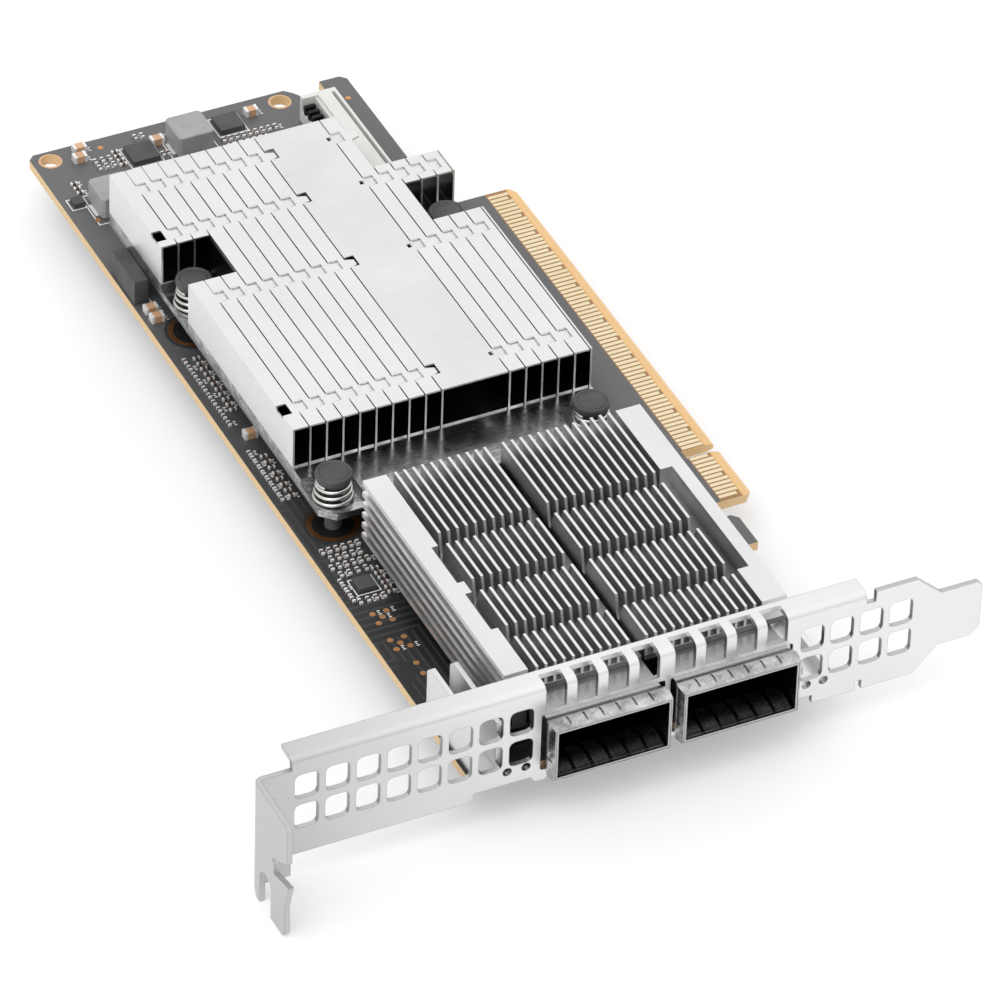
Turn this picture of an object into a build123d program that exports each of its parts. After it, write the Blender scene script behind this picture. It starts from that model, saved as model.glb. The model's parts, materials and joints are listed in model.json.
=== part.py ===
from build123d import *
import os

# Ethernet adapter card: a low-profile board on a full-height bracket, with two ports.
# Millimetres. X runs along the bracket towards the edge connector, Y runs along the card away from
# the bracket and Z points out of the component side. The origin is the centre of the key notch, on
# the outer edge of the connector and halfway through the board.

# Board
BOARD_T = 1.57
BOARD_HEIGHT = 68.9
BOARD_LENGTH = 167.65
FAR_EDGE = 111.2
TOP = BOARD_T / 2
BOTTOM = -TOP
LEFT_EDGE = -BOARD_HEIGHT
NEAR_EDGE = FAR_EDGE - BOARD_LENGTH

# How round things are drawn
ROUND_SIDES = 24
SMALL_SIDES = 12
SMALL_R = 1.6
CORNER_STEPS = 2
BEND_STEPS = 5
FULL_TURN = 360

# Edge connector
KEY_WIDTH = 1.9
KEY_DEPTH = 5.6
SHORT_SECTION = 11.65
LONG_SECTION = 71.65
SECTION_ROUND = 1.0
EDGE_BEVEL_LENGTH = 1.3
EDGE_BEVEL_DEPTH = 0.45
PAD_WIDTH = 0.7
PAD_PITCH = 1.0
PAD_INNER = 5.3
PAD_OUTER = 1.75
PAD_SHORT_OUTER = 2.25
PAD_T = 0.05
PAD_FROM_KEY = 1.5
SHORT_PINS = 11
LONG_PINS = 71
TIED_PADS = 5
FAR_STEP = 12.5
NEAR_STEP = 8.25
HOOK_REACH = 4.6
HOOK_START = 16.1
HOOK_END = 23.6
FAR_NOTCH_EDGE = 22.3
FAR_NOTCH_INNER = 17.1
FAR_NOTCH_DEPTH = 3.0
FAR_NOTCH_SLOPE = 1.2

# Far-end mounting holes
HOLE_R = 1.5
HOLE_RING_R = 1.95
HOLE_FROM_LEFT = 3.0
HOLE_FROM_FAR = 2.6
HOLE_SPACING = 40.6
FOIL_T = 0.05

# Main heatsink
SINK_TOP_HEIGHT = 14.2
FIN_HEIGHT = 7.4
FIN_T = 0.3
FIN_PITCH = 2.79
LEFT_FINS = 9
RIGHT_FINS = 5
CENTRE_WIDTH = 11.5
SINK_INSET = 2.8
SINK_FRONT = 13.7
SINK_REAR = 84.2
SIDE_REAR = 69.6
POCKET_FRONT = 53.3
POCKET_REAR = 63.7
POCKET_CELLS = 3
ZIPPER_ROWS = (18.8, 48.6, 66.5, 79.0)
OPEN_ZIPPER_ROWS = (18.8, 66.5)
ZIPPER_WIDTH = 2.6
ZIPPER_REACH = 1.6
ZIPPER_GAP = 0.2
ZIPPER_OVERLAP = 0.6
TONGUE_TAPER = 0.6
FLANGE_GAP = 0.2
EYE_SIZE = 0.9

# Base plate, chip and spring screws
BASE_T = 2.4
BASE_FRONT = 2.0
BASE_CORNER = 2.2
EAR_DROP = 1.2
EAR_WIDTH = 7.6
EAR_LENGTH = 8.6
SCREW_INSET_LEFT = 3.5
SCREW_INSET_RIGHT = 3.3
SCREW_FRONT = 6.3
SCREW_REAR = 58.9
CAP_R = 2.95
CAP_T = 1.5
CAP_TOP_HEIGHT = 10.6
CAP_NECK_R = 2.1
CAP_NECK_T = 0.8
SHANK_R = 1.3
SHANK_TIP = 1.6
TIP_R = 1.75
SCREW_HOLE_R = 1.5
SEAT_GAP = 0.05
KEEP_OUT_R = 4.7
SPRING_R = 3.1
SPRING_TOP_R = 2.6
SPRING_WIRE_R = 0.26
SPRING_TURNS = 3
SPRING_STEPS = 10
SPRING_SIDES = 5
CHIP_SIZE = 35.0
CHIP_BED_T = 0.4
CHIP_BED_INSET = 1.5
CHIP_CARRIER_T = 1.2
CHIP_LID = 29.0
HEAT_PAD_T = 0.3

# Bracket
SHEET_T = 0.86
BRACKET_GAP = 0.36
BRACKET_HEIGHT = 18.42
BRACKET_ABOVE = 15.44
BRACKET_LENGTH = 120.02
TONGUE_WIDTH = 10.19
TONGUE_DROP = 3.9
TONGUE_TIP = 15.5
TONGUE_START = 8.5
NARROW_END = 5.92
PLATE_RIGHT = 4.3
FLANGE_DEPTH = 4.0
FLANGE_RIGHT = -4.2
BEND_R = 1.3
EDGE_DROP = 1.3
WINDOW_SHIFT = -0.2
DRIVE_SLOT = 0.25
RELIEF_R = 0.75
RELIEF_DEPTH = 1.9
LOW_EDGE_LEFT = -69.0
LOW_EDGE_RIGHT = -12.7
LOW_EDGE_RISE = 1.5
LUG_LEFT = -59.6
LUG_RIGHT = -56.4
LUG_DROP = 1.1
BOTTOM_SLOT_X = -4.9
BOTTOM_SLOT_WIDTH = 1.1
BOTTOM_SLOT_DEPTH = 1.7
VENT_PITCH = 4.98
VENT_SIZE = 3.9
VENT_HEIGHT = 4.6
VENT_RADIUS = 0.9
VENT_ROWS = (9.81, 4.06)
VENT_FROM_END = 2.42
VENT_FROM_PORT = 3.0
RIGHT_VENT_START = -13.2
VENT_FROM_TIP = 2.6
ROUND_HOLE_R = 0.75
ROUND_HOLE_HEIGHT = 0.9
ROUND_HOLES_X = (-63.5, -60.4, -13.75, -10.9)
WINDOW_WIDTH = 3.4
WINDOW_PITCH = 5.1
WINDOW_COUNT = 4
WINDOW_BOTTOM = 10.8
WINDOW_DEPTH = 2.9
TAB_DEPTH = 11.43
TAB_WIDTH = 21.59
TAB_TOP = 13.3
SLOT_WIDTH = 3.9
SLOT_FROM_PLATE = 2.1
SLOT_DEPTH = 4.9
TAB_NOTCH_INNER = 6.2
TAB_NOTCH_TOP = 3.6
TAB_NOTCH_HEIGHT = 2.4
TAB_NOTCH_SLOPE = 2.8
TAB_LEG_RISE = 1.2
TAB_LEG_WIDTH = 4.8
TAB_TIP_CHAMFER = 6.0

# Bracket feet on the board
FOOT_LENGTH = 17.0
FOOT_WIDTH = 4.6
FOOT_INSET = 0.5
FOOT_WALL_HEIGHT = 9.4
RIGHT_WALL_HEIGHT = 3.0
FOOT_CHAMFER = 1.0
RIGHT_FOOT_X = -14.4
FOOT_SCREW_R = 0.9
FOOT_HEAD_R = 1.35
FOOT_HEAD_T = 1.3
FOOT_HOLE_R = 1.05
NUT_R = 2.1
NUT_T = 1.4

# Ports
PORT_WIDTH = 18.83
PORT_HEIGHT = 9.1
PORT_LIFT = 0.15
PORT_SPACE = 2.42
FIRST_PORT_X = -47.9
PORT_REACH = 3.7
CAGE_REAR = -7.0
CAGE_WALL = 0.3
PORT_CLEARANCE = 0.75
COLLAR_T = 0.2
COLLAR_GAP = 0.05
COLLAR_LENGTH = 3.3
COLLAR_SLIT = 0.3
COLLAR_BULGE = 0.25
COLLAR_CREST = 0.55
COLLAR_TOP_FINGERS = 7
COLLAR_SIDE_FINGERS = 3
COLLAR_LIP = 0.35
CONNECTOR_DEPTH = 12.0
CONNECTOR_HEIGHT = 5.6
CONNECTOR_SLOT_HEIGHT = 1.4
CONNECTOR_SLOT_LEVEL = 3.1
CONNECTOR_SLOT_DEPTH = 7.0
CONTACT_MARGIN = 1.8
CONTACT_PITCH = 0.8
CONTACT_WIDTH = 0.35
CONTACT_T = 0.15
SLOT_MARGIN = 0.4
CAGE_LEG_WIDTH = 0.8
CAGE_LEG_LENGTH = 2.1
CAGE_LEGS = 5
LEG_HOLE_R = 0.55

# Port heatsinks
PORT_SINK_TOP = 14.2
PORT_SINK_FLOOR = 10.4
PORT_SINK_SEAT = 0.05
PORT_SINK_REAR = -1.7
PORT_SINK_FRONT = -51.6
PORT_FIN_T = 0.45
PORT_FIN_PITCH = 1.5
TROUGH_SLOPE = 1.1
PORT_FIN_ROWS = ((-17.6, -1.7), (-29.4, -20.3), (-41.2, -32.2), (-51.6, -44.0))
PORT_SINK_SPLIT = 0.5
PORT_SINK_SHIFT = 1.2
PORT_SINK_WALL_GAP = 0.3
RIGHT_SLOT_WIDTH = 2.0
LEFT_BORDER = 3.7
LEFT_SINK_REACH = 4.2
RIGHT_SINK_REACH = 2.6
RIGHT_BORDER = 4.2
RIB_COUNT = 5
RIB_PITCH = 2.0
RIB_T = 0.9
RIB_DEPTH = 1.6
SIDE_WALL_BOTTOM = 3.2
BORDER_SLOT_WIDTH = 0.9
BORDER_SLOTS = ((-29.4, -20.3), (-41.2, -32.2))
RIGHT_SLOT = (-43.3, -17.3)

# Auxiliary connector
AUX_WIDTH = 6.2
AUX_HEIGHT = 5.0
AUX_FRONT = 72.5
AUX_REAR = 102.8
AUX_X = -24.4
AUX_SLOT_WIDTH = 0.6
AUX_SLOT_DEPTH = 3.0
AUX_WALL = 0.5
AUX_LEDGE = 2.3
AUX_LEDGE_HEIGHT = 2.4
AUX_END = 1.0
AUX_STEP = 0.5
AUX_PIN_LENGTH = 1.9
AUX_PIN_WIDTH = 0.7
AUX_PIN_HEIGHT = 1.6
AUX_PIN_PITCH = 1.5

# Small parts
INDUCTOR_SIZE = 6.3
INDUCTOR_HEIGHT = 4.0
INDUCTOR_CORNER = 0.5
INDUCTOR_PLACES = ((-43.4, 104.0), (-61.3, 93.9))
TERMINAL_REACH = 0.5
STAGE_HEIGHT = 0.9
STAGES = ((-51.7, 104.3, 4.7), (-35.6, 106.2, 4.2))
SMALL_CHIP_HEIGHT = 0.8
SMALL_CHIPS = ((-64.3, -8.9, 3.0), (-66.3, 96.5, 2.0))
TALL_X = -67.4
TALL_Y = 73.0
TALL_WIDTH = 2.4
TALL_LENGTH = 9.0
TALL_HEIGHT = 4.5
BIG_CAP_LENGTH = 2.2
BIG_CAP_WIDTH = 1.5
BIG_CAP_HEIGHT = 1.3
BIG_CAP_END = 0.45
BIG_CAP_PLACES = (
    (-60.6, 109.2),
    (-61.5, 106.9),
    (-48.2, 106.3),
    (-31.0, 107.4),
    (-66.9, 66.0),
    (-66.9, 63.6),
    (-65.4, 31.0),
)
END_SKIN = 0.03
PASSIVE_LENGTH = 1.1
PASSIVE_WIDTH = 0.6
PASSIVE_HEIGHT = 0.45
PASSIVE_END = 0.28
PASSIVE_ROWS = (
    (-50.9, 108.9, -49.7, 108.9, 1.2, True),
    (-59.4, 103.6, -56.9, 103.6, 1.2, True),
    (-59.4, 105.4, -56.9, 105.4, 1.2, True),
    (-55.5, 103.0, -55.5, 106.6, 1.2, False),
    (-48.5, 103.0, -47.6, 103.0, 0.9, True),
    (-38.0, 102.6, -28.8, 102.6, 1.15, True),
    (-37.4, 100.9, -31.6, 100.9, 1.15, False),
    (-64.9, 98.8, -64.9, 101.3, 1.25, False),
    (-67.2, 35.0, -67.2, 52.0, 1.9, True),
    (-65.2, 38.0, -65.2, 52.0, 1.4, False),
    (-67.3, 15.0, -67.3, 27.0, 1.5, True),
    (-65.6, 15.0, -65.6, 25.5, 1.5, False),
    (-67.0, 0.6, -61.0, 0.6, 1.2, True),
    (-66.4, -1.4, -61.6, -1.4, 1.2, True),
    (-67.2, -3.4, -61.2, -3.4, 1.2, True),
    (-66.6, -5.4, -62.4, -5.4, 1.4, True),
    (-61.2, -6.0, -61.2, -12.0, 1.2, False),
    (-67.4, -7.0, -67.4, -11.5, 1.5, True),
    (-66.6, -12.4, -62.6, -12.4, 1.3, True),
)
REAR_COUNT = 4
REAR_PITCH = 6.0
PAD_CLUSTERS = ((-64.9, -16.8), (-65.0, -23.4))
CLUSTER_PITCH = 1.15
TEST_PAD_R = 0.5
LONE_PADS = ((-64.75, -28.6), (-64.8, -31.2), (-57.05, 108.8), (-14.6, 105.2), (-65.1, 91.2))


def block(x0, x1, y0, y1, z0, z1):
    """A box between two corners."""
    size = (x1 - x0, y1 - y0, z1 - z0)
    centre = ((x0 + x1) / 2, (y0 + y1) / 2, (z0 + z1) / 2)
    return Pos(*centre) * Box(*size)


def rod(x, y, z0, z1, radius):
    """A many-sided rod along Z, with fewer sides where it is thin."""
    sides = SMALL_SIDES if radius < SMALL_R else ROUND_SIDES
    return Pos(x, y, z0) * extrude(RegularPolygon(radius, sides), z1 - z0)


def rod_y(x, z, y0, y1, radius):
    """A thin many-sided rod along Y."""
    return Pos(x, y1, z) * extrude(Plane.XZ * RegularPolygon(radius, SMALL_SIDES), y1 - y0)


def arc(x, y, radius, start, turn, steps):
    """Points along an arc, from a start angle through a turn in degrees."""
    reach = Vector(radius, 0, 0)
    turned = [reach.rotate(Axis.Z, start + turn * i / steps) for i in range(steps + 1)]
    return [(x + spot.X, y + spot.Y) for spot in turned]


def plate(points, z0, z1):
    """A flat piece cut to a closed outline of XY points."""
    return Pos(0, 0, z0) * extrude(make_face(Polyline(*points, close=True)), z1 - z0)


def side_plate(points, x0, x1):
    """A flat piece that stands on edge, cut to a closed outline of YZ points."""
    face = make_face(Polyline(*points, close=True))
    return Pos(x0, 0, 0) * extrude(Plane.YZ * face, x1 - x0)


def front_plate(points, y0, y1):
    """A flat piece facing the bracket side, cut to a closed outline of XZ points."""
    face = make_face(Polyline(*points, close=True))
    return Pos(0, y1, 0) * extrude(Plane.XZ * face, y1 - y0)


def fused(shapes):
    """One solid from shapes that overlap."""
    first = shapes[0]
    return first.fuse(*shapes[1:]) if len(shapes) > 1 else first


def cut(shape, tools):
    """The shape less every tool."""
    return shape.cut(*tools) if tools else shape


def write(name, shapes):
    """Write one node, whose solids stay separate."""
    solids = [solid for shape in shapes for solid in shape.solids()]
    export_step(Compound(children=solids) if len(solids) > 1 else solids[0], f"parts/{name}.step")


def screw_points():
    """The four places where spring screws hold the main heatsink."""
    left = SINK_LEFT + SCREW_INSET_LEFT
    right = SINK_RIGHT - SCREW_INSET_RIGHT
    return [(x, y) for x in (left, right) for y in (SCREW_FRONT, SCREW_REAR)]


def pin_positions():
    """The Y place of every edge contact pad, counted from the bracket side."""
    short = [-PAD_FROM_KEY - PAD_PITCH * i for i in reversed(range(SHORT_PINS))]
    return short + [PAD_FROM_KEY + PAD_PITCH * i for i in range(LONG_PINS)]


SINK_LEFT = LEFT_EDGE + SINK_INSET
LEFT_GROUP_END = SINK_LEFT + LEFT_FINS * FIN_PITCH
RIGHT_GROUP_START = LEFT_GROUP_END + CENTRE_WIDTH
SINK_RIGHT = RIGHT_GROUP_START + RIGHT_FINS * FIN_PITCH
SINK_TOP = TOP + SINK_TOP_HEIGHT
FIN_BASE = SINK_TOP - FIN_HEIGHT
CHIP_CENTRE_X = (SINK_LEFT + SCREW_INSET_LEFT + SINK_RIGHT - SCREW_INSET_RIGHT) / 2
CHIP_CENTRE_Y = (SCREW_FRONT + SCREW_REAR) / 2
BASE_BOTTOM = FIN_BASE - BASE_T
PLATE_BACK = NEAR_EDGE - BRACKET_GAP
PLATE_FRONT = PLATE_BACK - SHEET_T
BRACKET_TOP = TOP + BRACKET_ABOVE
BRACKET_BOTTOM = BRACKET_TOP - BRACKET_HEIGHT
TAB_OUTER = TONGUE_TIP - BRACKET_LENGTH
PLATE_LEFT = TAB_OUTER + NARROW_END
PORT_BOTTOM = TOP + PORT_LIFT
PORT_TOP = PORT_BOTTOM + PORT_HEIGHT
MOUTH = PLATE_FRONT - PORT_REACH
PORT_CENTRES = (FIRST_PORT_X, FIRST_PORT_X + PORT_WIDTH + PORT_SPACE)
CONTACT_SPACE = PORT_WIDTH - 2 * CONTACT_MARGIN - CONTACT_WIDTH
CONTACTS_PER_ROW = int(CONTACT_SPACE / CONTACT_PITCH) + 1
CONTACT_SPAN = (CONTACTS_PER_ROW - 1) * CONTACT_PITCH + CONTACT_WIDTH
LEFT_SINK_X = PORT_CENTRES[0] - PORT_WIDTH / 2 - LEFT_SINK_REACH
RIGHT_SINK_X = PORT_CENTRES[1] + PORT_WIDTH / 2 + RIGHT_SINK_REACH
LEFT_FOOT_X = LEFT_EDGE + FOOT_INSET
FOOT_HOLE_Y = PLATE_BACK + FOOT_LENGTH - FOOT_WIDTH / 2
FOOT_CENTRES = (LEFT_FOOT_X + FOOT_WIDTH / 2, RIGHT_FOOT_X + FOOT_WIDTH / 2)
FAR_HOLES = [(LEFT_EDGE + HOLE_FROM_LEFT + i * HOLE_SPACING, FAR_EDGE - HOLE_FROM_FAR) for i in range(2)]


def board_outline():
    """The routed outline of the board, anticlockwise from the near left corner."""
    half_key = KEY_WIDTH / 2
    short_end = -half_key - SHORT_SECTION
    long_end = half_key + LONG_SECTION
    corner = SECTION_ROUND
    return [
        (LEFT_EDGE, NEAR_EDGE),
        (-NEAR_STEP, NEAR_EDGE),
        (-NEAR_STEP, -HOOK_END),
        (-HOOK_REACH, -HOOK_END),
        (-HOOK_REACH, -HOOK_START - corner),
        (-HOOK_REACH - corner, -HOOK_START),
        (-NEAR_STEP, -HOOK_START),
        (-NEAR_STEP, short_end),
        (-corner, short_end),
        (0, short_end + corner),
        (0, -half_key),
        (-KEY_DEPTH, -half_key),
        (-KEY_DEPTH, half_key),
        (0, half_key),
        (0, long_end - corner),
        (-corner, long_end),
        (-FAR_STEP, long_end),
        (-FAR_STEP, FAR_EDGE - corner),
        (-FAR_STEP - corner, FAR_EDGE),
        (-FAR_NOTCH_INNER, FAR_EDGE),
        (-FAR_NOTCH_INNER, FAR_EDGE - FAR_NOTCH_DEPTH),
        (-FAR_NOTCH_EDGE + FAR_NOTCH_SLOPE, FAR_EDGE - FAR_NOTCH_DEPTH),
        (-FAR_NOTCH_EDGE, FAR_EDGE - FAR_NOTCH_SLOPE),
        (-FAR_NOTCH_EDGE - FAR_NOTCH_SLOPE, FAR_EDGE),
        (LEFT_EDGE + corner, FAR_EDGE),
        (LEFT_EDGE, FAR_EDGE - corner),
    ]


def bevel_cutters():
    """Wedges that bevel both long edges of the connector."""
    y0 = -KEY_WIDTH / 2 - SHORT_SECTION - BOARD_T
    y1 = KEY_WIDTH / 2 + LONG_SECTION + BOARD_T
    over = SECTION_ROUND / 2
    slope = EDGE_BEVEL_DEPTH / EDGE_BEVEL_LENGTH
    wedges = []
    for side in (1, -1):
        corners = [
            (-EDGE_BEVEL_LENGTH, side * TOP),
            (over, side * (TOP - EDGE_BEVEL_DEPTH - slope * over)),
            (over, side * (TOP + BOARD_T)),
            (-EDGE_BEVEL_LENGTH, side * (TOP + BOARD_T)),
        ]
        wedges.append(front_plate(corners, y0, y1))
    return wedges


def circuit_board():
    """The bare board with its holes."""
    board = plate(board_outline(), BOTTOM, TOP)
    holes = [Pos(x, y, 0) * Cylinder(HOLE_R, 2 * BOARD_T) for x, y in FAR_HOLES]
    holes += [rod(x, y, BOTTOM * 2, TOP * 2, SCREW_HOLE_R) for x, y in screw_points()]
    holes += [rod(x, FOOT_HOLE_Y, BOTTOM * 2, TOP * 2, FOOT_HOLE_R) for x in FOOT_CENTRES]
    return [cut(board, bevel_cutters() + holes + leg_holes())]


def edge_contacts(side):
    """The gold pads on one side of the connector: side is 1 for the component side."""
    base = TOP if side > 0 else BOTTOM - PAD_T
    pads = []
    for number, y in enumerate(pin_positions()):
        outer = -PAD_SHORT_OUTER if number % TIED_PADS == 0 else -PAD_OUTER
        pads.append(block(-PAD_INNER, outer, y - PAD_WIDTH / 2, y + PAD_WIDTH / 2, base, base + PAD_T))
    return pads


def ring(x, y, z0, z1, outer, inner):
    """A flat ring."""
    return rod(x, y, z0, z1, outer).cut(rod(x, y, z0 - 1, z1 + 1, inner))


def mounting_rings():
    """Gold rings round the far-end holes, on both sides."""
    spans = ((TOP, TOP + FOIL_T), (BOTTOM - FOIL_T, BOTTOM))
    inner = HOLE_R + SEAT_GAP
    return [ring(x, y, z0, z1, HOLE_RING_R, inner) for x, y in FAR_HOLES for z0, z1 in spans]


def keep_out_rings():
    """Bare copper round the spring screws."""
    return [ring(x, y, TOP, TOP + FOIL_T, KEEP_OUT_R, SCREW_HOLE_R) for x, y in screw_points()]


def fin_span(index):
    """Where one folded fin starts and how far its flanges reach, counted from the left wall."""
    if index < LEFT_FINS:
        return SINK_LEFT + index * FIN_PITCH, FIN_PITCH
    if index == LEFT_FINS:
        return LEFT_GROUP_END, CENTRE_WIDTH
    return RIGHT_GROUP_START + (index - LEFT_FINS - 1) * FIN_PITCH, FIN_PITCH


def fin_stretches(x):
    """The lengths of sheet that a fin keeps beside the pockets and the short right side."""
    left_pocket = x < SINK_LEFT + (POCKET_CELLS - 0.5) * FIN_PITCH
    right_side = x > SINK_RIGHT - (POCKET_CELLS + 0.5) * FIN_PITCH
    beyond_first = x > RIGHT_GROUP_START + FIN_PITCH / 2
    rear = SIDE_REAR if beyond_first else SINK_REAR
    if left_pocket or right_side:
        return [(SINK_FRONT, POCKET_FRONT), (POCKET_REAR, rear)]
    return [(SINK_FRONT, rear)]


def folded_fin(index):
    """One sheet: an upright web with a flange along its top and one along its foot."""
    x, reach = fin_span(index)
    flange_end = x + reach - FLANGE_GAP
    last = index == LEFT_FINS + RIGHT_FINS
    pieces = []
    for y0, y1 in fin_stretches(x):
        web = block(x, x + FIN_T, y0, y1, FIN_BASE, SINK_TOP)
        roof = block(x, flange_end, y0, y1, SINK_TOP - FIN_T, SINK_TOP)
        foot = block(x, flange_end, y0, y1, FIN_BASE, FIN_BASE + FIN_T)
        rows = [row for row in ZIPPER_ROWS if y0 < row - ZIPPER_WIDTH and row + ZIPPER_WIDTH < y1]
        tongues = [] if last else [zipper_tongue(x + reach, row) for row in rows]
        windows = [zipper_window(x, row) for row in rows if index > 0 or row in OPEN_ZIPPER_ROWS]
        sheet = fused([web, roof, foot])
        sheet = cut(sheet, windows)
        if tongues:
            sheet = fused([sheet] + tongues)
        if index == LEFT_FINS:
            sheet = cut(sheet, [tongue_eye(flange_end, row) for row in rows])
        pieces.append(sheet)
    return pieces


def zipper_tongue(x, y):
    """The tapered tongue of a fin, which ends in the next fin's window."""
    root = ZIPPER_WIDTH / 2 - ZIPPER_GAP
    tip = root * TONGUE_TAPER
    start = x - ZIPPER_OVERLAP
    end = x + ZIPPER_REACH - ZIPPER_GAP
    half = [(start, root), (x, root), (end, tip)]
    points = [(along, y + wide) for along, wide in half]
    points += [(along, y - wide) for along, wide in reversed(half)]
    return plate(points, SINK_TOP - 2 * FIN_T, SINK_TOP - FIN_T)


def zipper_window(x, y):
    """The window in a fin's folded corner that takes the tongue beside it."""
    half = ZIPPER_WIDTH / 2
    low = SINK_TOP - 2 * FIN_T - ZIPPER_GAP
    return block(x - FIN_T, x + ZIPPER_REACH, y - half, y + half, low, SINK_TOP + FIN_T)


def tongue_eye(x, y):
    """The square hole at the root of a wide fin's tongue."""
    half = EYE_SIZE / 2
    return block(x - EYE_SIZE, x, y - half, y + half, SINK_TOP - 3 * FIN_T, SINK_TOP + FIN_T)


def end_fin():
    """The flat strip that closes the right side, in the two stretches that remain there."""
    spans = fin_stretches(SINK_RIGHT)
    return [block(SINK_RIGHT, SINK_RIGHT + FIN_T, y0, y1, FIN_BASE, SINK_TOP) for y0, y1 in spans]


def base_plate():
    """The plate that carries the fins, with its corners cut and four screw holes."""
    x0 = SINK_LEFT
    x1 = SINK_RIGHT + FIN_T
    step = RIGHT_GROUP_START + FIN_PITCH
    c = BASE_CORNER
    points = [
        (x0 + c, BASE_FRONT),
        (x1 - c, BASE_FRONT),
        (x1, BASE_FRONT + c),
        (x1, SIDE_REAR),
        (step, SIDE_REAR),
        (step, SINK_REAR),
        (x0, SINK_REAR),
        (x0, BASE_FRONT + c),
    ]
    cutters = [rod(x, y, BASE_BOTTOM - 1, FIN_BASE + 1, SCREW_HOLE_R) for x, y in screw_points()]
    ear_top = FIN_BASE - EAR_DROP
    for y0, y1 in ((BASE_FRONT - c, BASE_FRONT + EAR_LENGTH), (POCKET_FRONT, POCKET_REAR)):
        cutters.append(block(x0 - c, x0 + EAR_WIDTH, y0, y1, ear_top, FIN_BASE + 1))
        cutters.append(block(x1 - EAR_WIDTH, x1 + c, y0, y1, ear_top, FIN_BASE + 1))
    return [cut(plate(points, BASE_BOTTOM, FIN_BASE), cutters)]


def spring_screws():
    """Four plastic-capped screws, each with a neck, a shank and a tip under the board."""
    top = TOP + CAP_TOP_HEIGHT
    screws = []
    for x, y in screw_points():
        cap = rod(x, y, top - CAP_T, top, CAP_R)
        neck = rod(x, y, top - CAP_T - CAP_NECK_T, top - CAP_T, CAP_NECK_R)
        shank = rod(x, y, BOTTOM - SHANK_TIP, top - CAP_T, SHANK_R)
        tip = rod(x, y, BOTTOM - SHANK_TIP, BOTTOM - SEAT_GAP, TIP_R)
        screws.append(fused([cap, neck, shank, tip]))
    return screws


def coil_spring():
    """A tapering coil about the Z axis, lofted through sections that stand round the axis."""
    foot = FIN_BASE - EAR_DROP + SPRING_WIRE_R + SEAT_GAP
    head = TOP + CAP_TOP_HEIGHT - CAP_T - SPRING_WIRE_R - SEAT_GAP
    steps = SPRING_TURNS * SPRING_STEPS
    sections = []
    for i in range(steps + 1):
        share = i / steps
        level = foot + (head - foot) * share
        radius = SPRING_R - (SPRING_R - SPRING_TOP_R) * share
        wire = Plane.XZ * (Pos(radius, 0) * RegularPolygon(SPRING_WIRE_R, SPRING_SIDES))
        sections.append(Pos(0, 0, level) * Rot(0, 0, i * FULL_TURN / SPRING_STEPS) * wire)
    return loft(sections, ruled=True)


def network_chip():
    """The chip under the base plate: solder bed, carrier and lid."""
    x, y = CHIP_CENTRE_X, CHIP_CENTRE_Y
    half = CHIP_SIZE / 2
    inner = half - CHIP_BED_INSET
    lid = CHIP_LID / 2
    bed_top = TOP + CHIP_BED_T
    lid_top = BASE_BOTTOM - HEAT_PAD_T
    bed = block(x - inner, x + inner, y - inner, y + inner, TOP, bed_top)
    carrier = block(x - half, x + half, y - half, y + half, bed_top, bed_top + CHIP_CARRIER_T)
    cap = block(x - lid, x + lid, y - lid, y + lid, bed_top + CHIP_CARRIER_T, lid_top)
    return [fused([bed, carrier, cap])]


def heat_pad():
    """The thin pad between the chip's lid and the base plate."""
    x, y = CHIP_CENTRE_X, CHIP_CENTRE_Y
    half = CHIP_LID / 2
    return [block(x - half, x + half, y - half, y + half, BASE_BOTTOM - HEAT_PAD_T, BASE_BOTTOM)]


def rounded_window(x0, x1, z0, z1, radius):
    """A cutter through the bracket's plate with rounded corners."""
    centres = (
        (x1 - radius, z1 - radius),
        (x0 + radius, z1 - radius),
        (x0 + radius, z0 + radius),
        (x1 - radius, z0 + radius),
    )
    quarter = FULL_TURN / len(centres)
    points = []
    for i, (x, z) in enumerate(centres):
        points += arc(x, z, radius, i * quarter, quarter, CORNER_STEPS)
    return front_plate(points, PLATE_FRONT - SHEET_T, PLATE_BACK + SHEET_T)


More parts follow.
